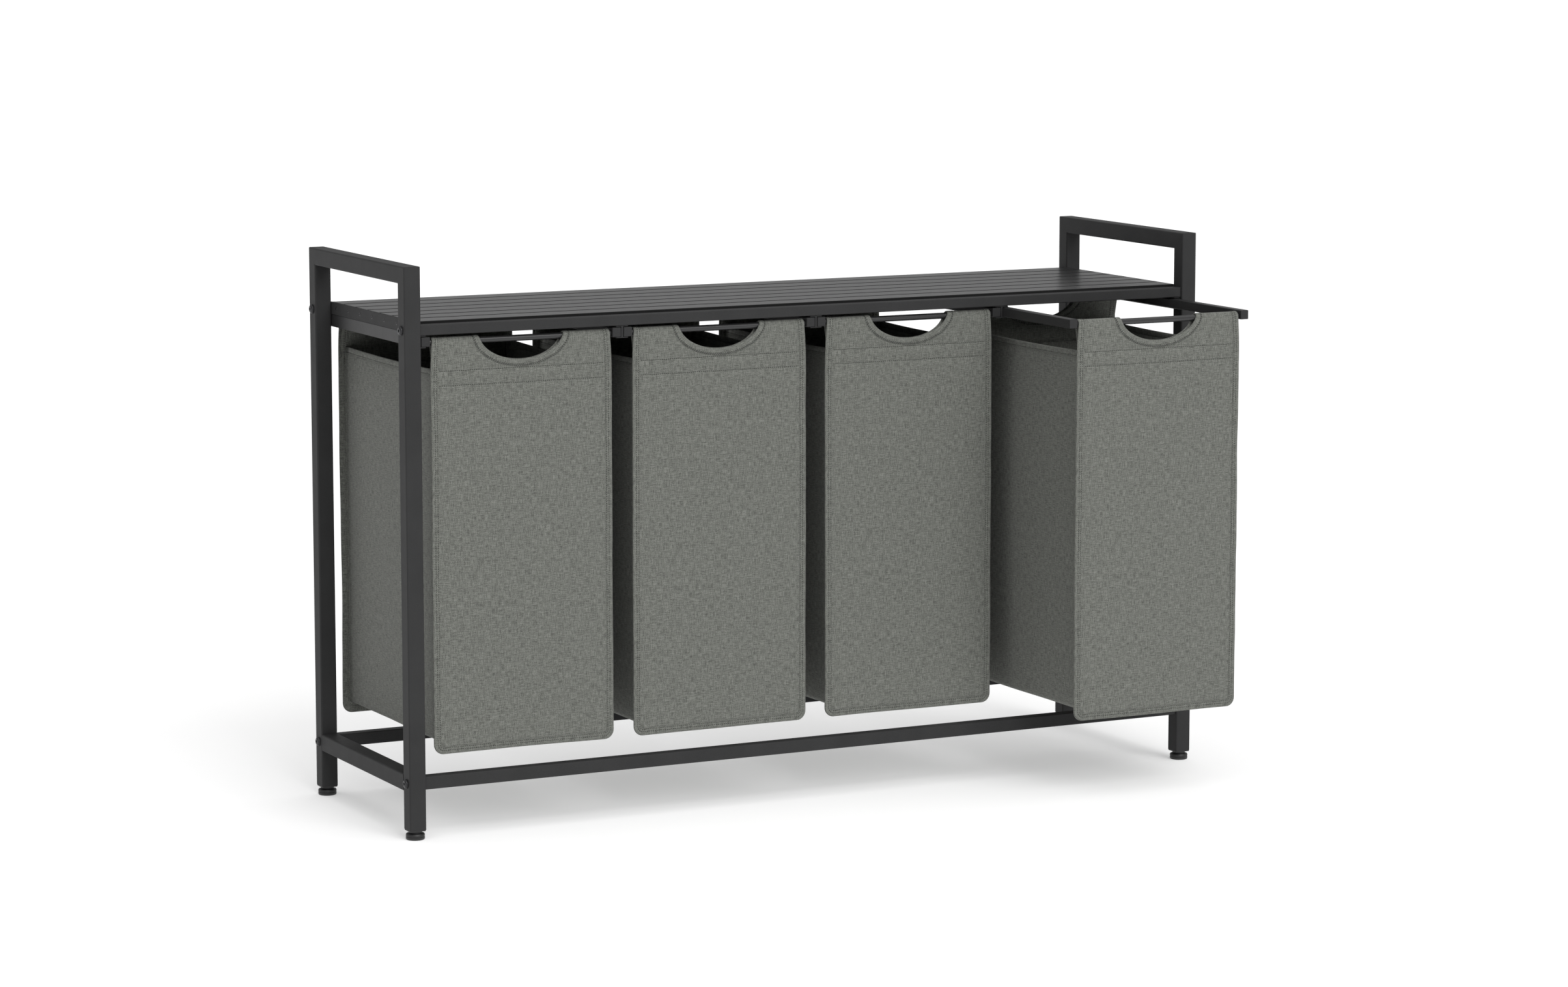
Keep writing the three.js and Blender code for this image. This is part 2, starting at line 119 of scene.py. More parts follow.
class BagSettings(bpy.types.PropertyGroup):
    """Sizes and colours of the sewn bags."""
    light_thread: colour_prop("Light thread", "Lightest yarn of the linen", (0.195, 0.201, 0.181))
    dark_thread: colour_prop("Dark thread", "Darkest yarn of the linen", (0.062, 0.064, 0.057))
    # painted shade: the thread is as pale as the cloth; this dark colour stands in for the shade in its
    # needle holes
    thread_and_hole_shade: colour_prop("Thread with painted hole shade", "Thread of the seams", (0.016, 0.017, 0.015))
    thread_pitch: length_prop("Thread pitch", "Distance between two yarns of the weave", 1.0 * MM)
    cloth: length_prop("Cloth", "Thickness of one layer of cloth", 1.2 * MM)
    tape: length_prop("Tape", "Thickness of the binding tape", 0.45 * MM)
    tape_width: length_prop("Tape width", "How far the binding tape reaches in from an edge", 9.0 * MM)
    flange: length_prop("Side seam", "Width of the seam that stands out at the sides", 9.0 * MM)
    bottom_flange: length_prop(
        "Bottom seam", "Width of the seam that stands out at the bottom", 12.0 * MM)
    corner: length_prop("Corner radius", "Radius of a panel's lower corners", 12.0 * MM)
    taper: length_prop("Taper", "How far each side edge comes in towards the rod", 3.0 * MM, least=0)
    taper_height: length_prop("Taper height", "Height over which a panel tapers", 60.0 * MM)
    grip_width: length_prop("Grip width", "Width of the half round grip opening", 116.0 * MM)
    grip_depth: length_prop("Grip depth", "Depth of the grip opening below the rod's crest", 32.0 * MM)
    side_drop: length_prop("Side drop", "How far the side walls stay below the top", 41.0 * MM)
    hem: length_prop("Hem", "Width of the hem along the top of a side wall", 8.0 * MM)
    upper_row: length_prop(
        "Upper row", "Depth below the top of the row that closes the sleeve", 42.2 * MM)
    lower_row: length_prop(
        "Lower row", "Depth below the top of the row that holds the flap's end", 60.7 * MM)
    crown: length_prop("Crown", "How far the front and rear belly out", 1.6 * MM, least=0)
    belly: length_prop("Belly", "How far the side walls belly out", 2.6 * MM, least=0)
    sag: length_prop("Sag", "How far the bottom hangs down in its middle", 3.0 * MM, least=0)
    ripple: length_prop("Ripple", "Height of the soft waves in the cloth", 1.1 * MM, least=0)
    stitch: length_prop("Stitch", "Length of one stitch", 1.9 * MM)
    stitch_pitch: length_prop("Stitch pitch", "Distance from one stitch to the next", 2.9 * MM)


class StageSettings(bpy.types.PropertyGroup):
    """The floor, the lights and the camera."""
    floor_colour: colour_prop("Floor", "Plain pale floor", (0.70, 0.70, 0.70))
    floor_glow: light_prop("Floor glow", "Light of the floor itself, as on a light table", 0.36)
    sky: light_prop("Room light", "Even light from all round", 0.46)
    key: light_prop("Key light", "Soft light from the front", 1.65)
    top: light_prop("Top light", "Soft light from above", 1.15)
    camera_place: FloatVectorProperty(
        name="Camera", description="Where the camera stands", subtype="TRANSLATION", unit="LENGTH",
        size=3, default=(-2.6146, -5.1404, 1.2084))
    camera_turn: angle_prop(
        "Turn", "How far the camera looks to the right of straight back", math.radians(26.886))
    camera_tilt: angle_prop("Tilt", "How far the camera looks down", math.radians(8.05))
    camera_lens: FloatProperty(
        name="Lens", description="Focal length on a 36 mm wide sensor, in millimetres", min=10,
        default=101.93)


class SorterSettings(bpy.types.PropertyGroup):
    """Everything a user may change."""
    stand: PointerProperty(type=StandSettings)
    bag: PointerProperty(type=BagSettings)
    stage: PointerProperty(type=StageSettings)


def settings():
    """This scene's sizes and colours."""
    return bpy.context.scene.laundry_sorter


# ---------------------------------------------------------------- small tools

def finish_piece(bm, name, body, material, smooth=True):
    """Turns a bmesh into a piece that rides on a body and has a finish."""
    mesh = bpy.data.meshes.new(name)
    bm.to_mesh(mesh)
    bm.free()
    for face in mesh.polygons:
        face.use_smooth = smooth
    piece = bpy.data.objects.new(name, mesh)
    bpy.context.scene.collection.objects.link(piece)
    mesh.materials.append(material)
    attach(piece, body)
    return piece


def all_of(bm):
    """Every vertex, edge and face."""
    return bm.verts[:] + bm.edges[:] + bm.faces[:]


def centre_of(low, high):
    """Middle of a box."""
    return (low + high) / 2


def turned(profile, steps):
    """A closed shape of revolution about Z from (radius, height) points, the ends on the axis."""
    bm = bmesh.new()
    verts = [bm.verts.new((radius, 0, height)) for radius, height in profile]
    for first, second in zip(verts, verts[1:]):
        bm.edges.new((first, second))
    bmesh.ops.spin(bm, geom=all_of(bm), cent=(0, 0, 0), axis=(0, 0, 1), angle=math.tau,
                   steps=steps, use_merge=True, use_duplicate=False)
    bmesh.ops.remove_doubles(bm, verts=bm.verts, dist=MERGE)
    bmesh.ops.recalc_face_normals(bm, faces=bm.faces)
    return bm


def arc(centre, radii, start, stop, steps):
    """Points along a round stretch, from angle start to angle stop, in degrees."""
    angles = [math.radians(start + (stop - start) * k / steps) for k in range(steps + 1)]
    return [(centre[0] + radii[0] * math.cos(a), centre[1] + radii[1] * math.sin(a)) for a in angles]


def spaced(start, stop, step):
    """Evenly spaced numbers strictly between start and stop, at most step apart."""
    count = max(1, math.ceil(abs(stop - start) / step))
    return [start + (stop - start) * k / count for k in range(1, count)]


def cut_sheet(outline, u_cuts, v_cuts):
    """A flat sheet with an outline, cut into a grid so that it can bend."""
    bm = bmesh.new()
    verts = [bm.verts.new((u, v, 0)) for u, v in outline]
    edges = [bm.edges.new((verts[k - 1], verts[k])) for k in range(len(verts))]
    bmesh.ops.contextual_create(bm, geom=edges)
    for u in u_cuts:
        bmesh.ops.bisect_plane(bm, geom=all_of(bm), dist=MERGE, plane_co=(u, 0, 0), plane_no=(1, 0, 0))
    for v in v_cuts:
        bmesh.ops.bisect_plane(bm, geom=all_of(bm), dist=MERGE, plane_co=(0, v, 0), plane_no=(0, 1, 0))
    return bm


def face_up(bm):
    """Makes every face of a flat sheet point to +Z."""
    for face in bm.faces:
        face.normal_update()
        if face.normal.z < 0:
            face.normal_flip()


def lay_uv(bm):
    """Writes the flat place of each corner as its UV, in metres, so that the weave follows the cut."""
    layer = bm.loops.layers.uv.new("Cloth")
    for face in bm.faces:
        for loop in face.loops:
            loop[layer].uv = loop.vert.co.xy


def shape(bm, place):
    """Moves every vertex from its flat place (u, v, lift) to where place says."""
    for vert in bm.verts:
        vert.co = place(*vert.co)


def along(points, closed):
    """(point, left normal, distance) at each point of a flat path."""
    rows = []
    walked = 0
    count = len(points)
    for k, point in enumerate(points):
        before = points[k - 1] if closed or k > 0 else point
        after = points[(k + 1) % count] if closed or k < count - 1 else point
        run = Vector((after[0] - before[0], after[1] - before[1])).normalized()
        if k > 0:
            walked += math.dist(points[k - 1], point)
        rows.append((point, (-run.y, run.x), walked))
    return rows


def tape_mesh(points, section, closed):
    """A strip sewn along a flat path. section(point) gives the (inward, lift) points of its closed cut.

    The mesh is in flat coordinates, with its UV along and across the strip.
    """
    path = along(points, closed)
    if closed:
        first = path[0]
        length = path[-1][2] + math.dist(points[-1], points[0])
        path.append((first[0], first[1], length))
    cuts = [section(point) for point, _, _ in path]
    around = len(cuts[0])
    bm = bmesh.new()
    bmesh.ops.create_grid(bm, x_segments=len(path) - 1, y_segments=around, size=0.5)
    layer = bm.loops.layers.uv.new("Cloth")
    spot = {}
    for vert in bm.verts:
        i = round((vert.co.x + 0.5) * (len(path) - 1))
        j = round((vert.co.y + 0.5) * around)
        spot[vert] = (i, j)
    reach = [0.0]
    for j in range(around):
        reach.append(reach[-1] + math.dist(cuts[0][j], cuts[0][(j + 1) % around]))
    for face in bm.faces:
        for loop in face.loops:
            i, j = spot[loop.vert]
            loop[layer].uv = (path[i][2], reach[j])
    for vert, (i, j) in spot.items():
        point, inward, _ = path[i]
        inset, lift = cuts[i][j % around]
        vert.co = (point[0] + inward[0] * inset, point[1] + inward[1] * inset, lift)
    bmesh.ops.remove_doubles(bm, verts=bm.verts, dist=MERGE)
    if not closed:
        rim = [edge for edge in bm.edges if edge.is_boundary]
        bmesh.ops.holes_fill(bm, edges=rim, sides=0)
    return bm


def bent_tape(points, section, closed, place):
    """A strip in its real place, its faces pointing out."""
    bm = tape_mesh(points, section, closed)
    shape(bm, place)
    bmesh.ops.recalc_face_normals(bm, faces=bm.faces)
    return bm


# ---------------------------------------------------------------- materials

def new_group(name, inputs, outputs):
    """An empty shader group with named sockets, and its input and output nodes."""
    tree = bpy.data.node_groups.new(name, "ShaderNodeTree")
    for label, kind, value in inputs:
        socket = tree.interface.new_socket(name=label, in_out="INPUT", socket_type=kind)
        if value is not None:
            socket.default_value = value
    for label, kind in outputs:
        tree.interface.new_socket(name=label, in_out="OUTPUT", socket_type=kind)
    return tree, tree.nodes.new("NodeGroupInput"), tree.nodes.new("NodeGroupOutput")


def math_node(tree, operation, first, second=None, third=None):
    """A Math node whose inputs are sockets or numbers; returns its output socket."""
    node = tree.nodes.new("ShaderNodeMath")
    node.operation = operation
    for slot, value in zip(node.inputs, (first, second, third)):
        if value is None:
            continue
        if isinstance(value, (int, float)):
            slot.default_value = value
        else:
            tree.links.new(value, slot)
    return node.outputs[0]


def centred(tree, value, weight):
    """A value near one half, moved to lie round zero and weighted by a number or socket."""
    return math_node(tree, "MULTIPLY", math_node(tree, "SUBTRACT", value, 0.5), weight)


def stretched(tree, vector, factors):
    """Multiplies a vector by three factors."""
    node = tree.nodes.new("ShaderNodeVectorMath")
    node.operation = "MULTIPLY"
    tree.links.new(vector, node.inputs[0])
    node.inputs[1].default_value = factors
    return node.outputs[0]


def scaled(tree, vector, scale):
    """Multiplies a vector by one number or socket."""
    node = tree.nodes.new("ShaderNodeVectorMath")
    node.operation = "SCALE"
    tree.links.new(vector, node.inputs[0])
    if isinstance(scale, (int, float)):
        node.inputs["Scale"].default_value = scale
    else:
        tree.links.new(scale, node.inputs["Scale"])
    return node.outputs[0]


def noise_node(tree, vector, scale, detail, roughness=0.5):
    """A 3D noise; returns its value socket, which lies near one half."""
    node = tree.nodes.new("ShaderNodeTexNoise")
    tree.links.new(vector, node.inputs["Vector"])
    node.inputs["Scale"].default_value = scale
    node.inputs["Detail"].default_value = detail
    node.inputs["Roughness"].default_value = roughness
    return node.outputs[0]


def linen_group():
    """Heather linen: warp and weft yarns with slubs, each lighter or darker than its neighbour."""
    slub_length, streak_length = 0.11, 0.016    # share of the frequency that is left along a yarn
    tree, given, out = new_group(
        "linen_weave",
        [("Vector", "NodeSocketVector", None), ("Pitch", "NodeSocketFloat", 0.001),
         ("Slub", "NodeSocketFloat", 3.0), ("Heather", "NodeSocketFloat", 2.8),
         ("Streak", "NodeSocketFloat", 0.22), ("Cloud", "NodeSocketFloat", 0.3)],
        [("Shade", "NodeSocketFloat"), ("Height", "NodeSocketFloat")])
    per_pitch = math_node(tree, "DIVIDE", 1.0, given.outputs["Pitch"])
    yarns = scaled(tree, given.outputs["Vector"], per_pitch)
    warp, weft = (noise_node(tree, stretched(tree, yarns, factors), 1.0, 1.5)
                  for factors in ((1.0, slub_length, 1.0), (slub_length, 1.0, 1.0)))
    warp_streak, weft_streak = (noise_node(tree, stretched(tree, yarns, factors), 1.0, 1.0)
                                for factors in ((0.7, streak_length, 1.0), (streak_length, 0.7, 1.0)))
    grain = noise_node(tree, yarns, 1.3, 2.0, 0.6)
    cloud = noise_node(tree, yarns, 0.45, 2.0)
    split = tree.nodes.new("ShaderNodeSeparateXYZ")
    tree.links.new(yarns, split.inputs[0])
    across = math_node(tree, "SINE", math_node(tree, "MULTIPLY", split.outputs[0], math.pi))
    down = math_node(tree, "SINE", math_node(tree, "MULTIPLY", split.outputs[1], math.pi))
    over = math_node(tree, "MULTIPLY", across, down)
    warp_up = math_node(tree, "MULTIPLY_ADD", over, 0.5, 0.5)
    blend = tree.nodes.new("ShaderNodeMix")
    blend.data_type = "FLOAT"
    tree.links.new(warp_up, blend.inputs[0])
    tree.links.new(warp, blend.inputs[2])
    tree.links.new(weft, blend.inputs[3])
    shade = 0.5
    for value, weight in ((blend.outputs[0], "Slub"), (grain, "Heather"), (warp_streak, "Streak"),
                          (weft_streak, "Streak"), (cloud, "Cloud")):
        shade = math_node(tree, "ADD", centred(tree, value, given.outputs[weight]), shade)
    clamp = tree.nodes.new("ShaderNodeClamp")
    tree.links.new(shade, clamp.inputs[0])
    tree.links.new(clamp.outputs[0], out.inputs["Shade"])
    height = math_node(tree, "ADD", math_node(tree, "MULTIPLY", math_node(tree, "ABSOLUTE", over), 0.6),
                       math_node(tree, "MULTIPLY", grain, 0.8))
    tree.links.new(height, out.inputs["Height"])
    return tree


def coat_group():
    """Powder coat and moulded skins: a fine orange peel, faint clouds and a little rubbing."""
    tree, given, out = new_group(
        "coat_skin",
        [("Vector", "NodeSocketVector", None), ("Grain", "NodeSocketFloat", 0.001),
         ("Cloud", "NodeSocketFloat", 0.08), ("Gloss Change", "NodeSocketFloat", 0.05),
         ("Roughness", "NodeSocketFloat", 0.5)],
        [("Shade", "NodeSocketFloat"), ("Roughness", "NodeSocketFloat"), ("Height", "NodeSocketFloat")])
    fine = scaled(tree, given.outputs["Vector"], math_node(tree, "DIVIDE", 1.0, given.outputs["Grain"]))
    peel = noise_node(tree, fine, 1.0, 2.0, 0.55)
    cloud = noise_node(tree, given.outputs["Vector"], 22.0, 3.0, 0.6)
    rubbed = noise_node(tree, given.outputs["Vector"], 60.0, 4.0, 0.65)
    drift = centred(tree, cloud, given.outputs["Cloud"])
    fleck = centred(tree, peel, given.outputs["Cloud"])
    both = math_node(tree, "MULTIPLY_ADD", math_node(tree, "ADD", drift, fleck), 2.0, 0.5)
    tree.links.new(both, out.inputs["Shade"])
    change = centred(tree, rubbed, given.outputs["Gloss Change"])
    rough = math_node(tree, "MULTIPLY_ADD", change, 2.0, given.outputs["Roughness"])
    tree.links.new(rough, out.inputs["Roughness"])
    tree.links.new(peel, out.inputs["Height"])
    return tree


def shared_group(name, make):
    """A shader group by name, made once."""
    return bpy.data.node_groups.get(name) or make()


def colour_mix(tree, factor, dark, light):
    """Mixes two plain colours by a socket; returns the colour socket."""
    node = tree.nodes.new("ShaderNodeMix")
    node.data_type = "RGBA"
    tree.links.new(factor, node.inputs[0])
    node.inputs[6].default_value = (*dark, 1)
    node.inputs[7].default_value = (*light, 1)
    return node.outputs[2]


def add_bump(tree, shader, height, distance, strength):
    """Feeds a height through a Bump node to the shader's normal."""
    bump = tree.nodes.new("ShaderNodeBump")
    bump.inputs["Strength"].default_value = strength
    bump.inputs["Distance"].default_value = distance
    tree.links.new(height, bump.inputs["Height"])
    tree.links.new(bump.outputs[0], shader.inputs["Normal"])


def coated(name, colour, roughness, grain, bump, cloud=0.16, metallic=0.0, specular=0.5):
    """A painted, moulded or blackened finish on Object coordinates."""
    found = bpy.data.materials.get(name)
    if found:
        return found
    material = bpy.data.materials.new(name)
    material.use_nodes = True
    tree = material.node_tree
    shader = tree.nodes["Principled BSDF"]
    shader.inputs["Metallic"].default_value = metallic
    shader.inputs["Specular IOR Level"].default_value = specular
    where = tree.nodes.new("ShaderNodeTexCoord")
    skin = tree.nodes.new("ShaderNodeGroup")
    skin.node_tree = shared_group("coat_skin", coat_group)
    skin.inputs["Grain"].default_value = grain
    skin.inputs["Cloud"].default_value = cloud
    skin.inputs["Roughness"].default_value = roughness
    tree.links.new(where.outputs["Object"], skin.inputs["Vector"])
    light = [min(1.0, c * 1.5) for c in colour]
    dark = [c * 0.5 for c in colour]
    tree.links.new(colour_mix(tree, skin.outputs["Shade"], dark, light), shader.inputs["Base Color"])
    tree.links.new(skin.outputs["Roughness"], shader.inputs["Roughness"])
    add_bump(tree, shader, skin.outputs["Height"], bump, 1.0)
    return material


def frame_paint():
    """Fine matt powder coat of the tubes."""
    return coated("frame_powder_coat", settings().stand.paint, 0.50, 0.9 * MM, 0.010 * MM, specular=0.08)


def paint_side_shade(material, colour, roughness):
    """Darkens a finish with painted shade, and dulls it, on the faces that don't look straight up or
    down.
    """
    level, steep = 0.98, 0.85    # how far up a face looks where the change starts and where it is full
    tree = material.node_tree
    if "Side" in tree.nodes:
        return
    shader = tree.nodes["Principled BSDF"]
    surface = tree.nodes.new("ShaderNodeNewGeometry")
    split = tree.nodes.new("ShaderNodeSeparateXYZ")
    tree.links.new(surface.outputs["True Normal"], split.inputs[0])
    # painted shade mask: full on faces that stand upright, such as the slat sides in the gaps
    side = tree.nodes.new("ShaderNodeMapRange")
    side.name = "Side"
    side.inputs["From Min"].default_value = level
    side.inputs["From Max"].default_value = steep
    tree.links.new(math_node(tree, "ABSOLUTE", split.outputs[2]), side.inputs["Value"])
    for socket, value, kind, inputs, output in (("Base Color", (*colour, 1), "RGBA", (6, 7), 2),
                                                ("Roughness", roughness, "FLOAT", (2, 3), 0)):
        mix = tree.nodes.new("ShaderNodeMix")
        mix.data_type = kind
        tree.links.new(side.outputs[0], mix.inputs[0])
        tree.links.new(shader.inputs[socket].links[0].from_socket, mix.inputs[inputs[0]])
        mix.inputs[inputs[1]].default_value = value
        tree.links.new(mix.outputs[output], shader.inputs[socket])


def slat_paint():
    """Smoother paint of the slats, with painted shade, dark and dull, on the sides that face each other
    across the gaps.
    """
    paint = settings().stand.slat_paint
    material = coated("slat_enamel_and_gap_shade", paint, 0.31, 0.8 * MM, 0.003 * MM, specular=0.4)
    # painted shade: a near-black, rough finish on the slat sides stands in for the shade in the gaps
    # between slats
    paint_side_shade(material, (0.002, 0.002, 0.002), 0.9)
    return material


def rail_paint():
    """Paint of the sliding parts."""
    return coated("rail_enamel", settings().stand.rail_paint, 0.40, 0.8 * MM, 0.006 * MM, specular=0.25)


def rod_enamel():
    """Glossier paint of the round rods."""
    return coated("rod_enamel", settings().stand.rail_paint, 0.24, 0.8 * MM, 0.003 * MM)


def foot_plastic():
    """Moulded plastic with a fine spark finish."""
    return coated("moulded_plastic", settings().stand.plastic, 0.46, 0.5 * MM, 0.012 * MM)


def bolt_steel():
    """Blackened steel, part metallic."""
    return coated("blackened_steel", settings().stand.steel, 0.34, 0.6 * MM, 0.004 * MM, 0.2, 0.55)


def bag_linen():
    """Heather linen on the cloth's own UV."""
    found = bpy.data.materials.get("bag_linen")
    if found:
        return found
    sizes = settings().bag
    material = bpy.data.materials.new("bag_linen")
    material.use_nodes = True
    tree = material.node_tree
    shader = tree.nodes["Principled BSDF"]
    shader.inputs["Roughness"].default_value = 0.88
    shader.inputs["Specular IOR Level"].default_value = 0.25
    shader.inputs["Sheen Weight"].default_value = 0.12
    shader.inputs["Sheen Roughness"].default_value = 0.45
    cut = tree.nodes.new("ShaderNodeUVMap")
    cut.uv_map = "Cloth"
    weave = tree.nodes.new("ShaderNodeGroup")
    weave.node_tree = shared_group("linen_weave", linen_group)
    weave.inputs["Pitch"].default_value = sizes.thread_pitch
    tree.links.new(cut.outputs["UV"], weave.inputs["Vector"])
    mixed = colour_mix(tree, weave.outputs["Shade"], sizes.dark_thread, sizes.light_thread)
    tree.links.new(mixed, shader.inputs["Base Color"])
    add_bump(tree, shader, weave.outputs["Height"], 0.22 * MM, 0.8)
    return material


def thread_and_hole_shade():
    """Twisted thread of the seams, dark as painted shade of the needle holes and dips between stitches.
    """
    return coated("thread_and_hole_shade", settings().bag.thread_and_hole_shade, 0.8, 0.4 * MM, 0.05 * MM, 0.3, 0, 0.2)


# ---------------------------------------------------------------- the stand

def soften_edges(piece, width):
    """A small round on the sharp edges of a carried over solid."""
    weld = piece.modifiers.new("Weld", "WELD")
    weld.merge_threshold = 0.00001
    bevel = piece.modifiers.new("Edge round", "BEVEL")
    bevel.width = width
    bevel.segments = 2
    bevel.limit_method = "ANGLE"
    bevel.angle_limit = math.radians(50)


def paint_nodes(names, material, edge):
    """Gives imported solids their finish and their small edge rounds."""
    for name in names:
        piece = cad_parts[name]
        piece.data.materials.clear()
        piece.data.materials.append(material)
        if edge:
            soften_edges(piece, edge)


class SORTER_OT_paint_stand(bpy.types.Operator):
    """Give the legs, handles, rails and beams their powder coat"""
    bl_idname = "sorter.paint_stand"
    bl_label = "Paint the stand"

    def execute(self, context):
        tubes = [f"{side}_{end}_leg" for side, end in CORNERS]
        tubes += [f"{side}_{kind}" for kind in ("top_bar", "side_rail") for side in SIDES]
        tubes += [f"{end}_lower_rail" for end in ENDS] + [f"shelf_{end}_beam" for end in ENDS]
        paint_nodes(tubes, frame_paint(), 0)
        return {"FINISHED"}


class SORTER_OT_paint_shelf(bpy.types.Operator):
    """Give the slats and end plates their paint, with painted shade on the slat sides"""
    bl_idname = "sorter.paint_shelf"
    bl_label = "Paint the shelf"

    def execute(self, context):
        slats = [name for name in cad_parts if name.startswith("shelf_slat_")]
        paint_nodes(slats, slat_paint(), 0.6 * MM)
        paint_nodes([f"shelf_{side}_end_plate" for side in SIDES], frame_paint(), 0.3 * MM)
        return {"FINISHED"}


class SORTER_OT_paint_slides(bpy.types.Operator):
    """Give the tracks and the bag rails their paint"""
    bl_idname = "sorter.paint_slides"
    bl_label = "Paint the slides"

    def execute(self, context):
        tracks = [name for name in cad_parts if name.startswith("track_")]
        rails = [f"bag_{bag}_{side}_rail" for bag in BAGS for side in SIDES]
        paint_nodes(tracks, rail_paint(), 0)
        paint_nodes(rails, rail_paint(), 0.7 * MM)
        return {"FINISHED"}


def hexagon_radius(angle, width):
    """Distance from the centre to a hexagon's edge, at an angle."""
    sixth = math.tau / 6
    turn = (angle + sixth / 2) % sixth - sixth / 2
    return width / 2 / math.cos(turn)


def sink_socket(bm, top, width, depth):
    """Cuts a hexagon socket into the flat face at height top of a turned head."""
    bm.faces.ensure_lookup_table()
    crown = [face for face in bm.faces if abs(face.calc_center_median().z - top) < 0.01 * MM]
    bmesh.ops.dissolve_faces(bm, faces=crown, use_verts=True)
    face = max(bm.faces, key=lambda f: f.calc_center_median().z)
    bmesh.ops.inset_region(bm, faces=[face], thickness=0.35 * MM, depth=0)
    for vert in face.verts:
        angle = math.atan2(vert.co.y, vert.co.x)
        radius = hexagon_radius(angle, width)
        vert.co.x = radius * math.cos(angle)
        vert.co.y = radius * math.sin(angle)
    lowered = bmesh.ops.extrude_face_region(bm, geom=[face])
    floor = [item for item in lowered["geom"] if isinstance(item, bmesh.types.BMVert)]
    bmesh.ops.translate(bm, verts=floor, vec=(0, 0, -depth))
    bmesh.ops.delete(bm, geom=[face], context="FACES_ONLY")


def outward_turn(side):
    """Turns +Z to point out of the stand's left or right side."""
    angle = -math.pi / 2 if side == "left" else math.pi / 2
    return Matrix.Rotation(angle, 4, "Y")


class SORTER_OT_make_bolts(bpy.types.Operator):
    """Make the domed socket bolts at the corners of both ends"""
    bl_idname = "sorter.make_bolts"
    bl_label = "Make the bolts"

    def execute(self, context):
        stand = settings().stand
        for side, end in CORNERS:
            for level in ("upper", "lower"):
                self.make_bolt(stand, side, f"{side}_{end}_{level}_bolt")
        return {"FINISHED"}

    def make_bolt(self, stand, side, node):
        """One bolt: shank, washer face, dome and socket."""
        low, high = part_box(node)
        leg_low, leg_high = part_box(node.rsplit("_", 2)[0] + "_leg")
        face = leg_low.x if side == "left" else leg_high.x
        head = (face - low.x) if side == "left" else (high.x - face)
        shank = (high.x - low.x) - head
        radius = (high.y - low.y) / 2
        inner = radius / 2           # of the shank, and of the flat on top of the head
        shoulder = 0.38 * head       # where the dome starts
        rise = head - shoulder
        edge, point = 0.4 * MM, 0.6 * MM
        dome = arc((inner, shoulder), (radius - 0.3 * MM - inner, rise), 90, 0, 6)
        profile = [(0, head), *dome, (radius, head * 0.30), (radius, edge), (radius - edge, 0),
                   (inner, 0), (inner, -shank + point), (inner - point, -shank), (0, -shank)]
        bm = turned(profile, stand.round_steps)
        sink_socket(bm, head, stand.socket_width, rise)
        bmesh.ops.transform(bm, matrix=outward_turn(side), verts=bm.verts)
        middle = centre_of(low, high)
        bmesh.ops.translate(bm, verts=bm.verts, vec=(face, middle.y, middle.z))
        piece = finish_piece(bm, node + "_domed", "stand", bolt_steel())
        add_crisp_edges(piece)
        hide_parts(node)


def add_crisp_edges(piece):
    """Keeps edges of more than 35 degrees crisp under smooth shading."""
    split = piece.modifiers.new("Crisp edges", "EDGE_SPLIT")
    split.split_angle = math.radians(35)


class SORTER_OT_make_screws(bpy.types.Operator):
    """Make the small screws that hold each slat to the end plates"""
    bl_idname = "sorter.make_screws"
    bl_label = "Make the slat screws"

    def execute(self, context):
        slats = sorted(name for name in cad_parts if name.startswith("shelf_slat_"))
        below = 1.5 * MM    # from a slat's middle down to its screw
        for side in SIDES:
            plate_low, plate_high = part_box(f"shelf_{side}_end_plate")
            face = plate_low.x if side == "left" else plate_high.x
            for number, slat in enumerate(slats, 1):
                middle = centre_of(*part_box(slat))
                place = (face, middle.y, middle.z - below)
                self.make_screw(side, place, f"{side}_slat_screw_{number}")
        return {"FINISHED"}

    def make_screw(self, side, place, name):
        """One countersunk screw: a low head with a hexagon socket and the cone under it."""
        radius = settings().stand.screw_diameter / 2
        top, root = 0.30 * MM, -1.2 * MM
        profile = [(0, top), (radius * 0.66, top), (radius * 0.9, 0.18 * MM), (radius, 0.05 * MM),
                   (radius, -0.2 * MM), (radius * 0.4, root), (0, root)]
        bm = turned(profile, 24)
        sink_socket(bm, top, radius * 0.9, 0.5 * MM)
        bmesh.ops.transform(bm, matrix=outward_turn(side), verts=bm.verts)
        bmesh.ops.translate(bm, verts=bm.verts, vec=place)
        add_crisp_edges(finish_piece(bm, name, "stand", bolt_steel()))


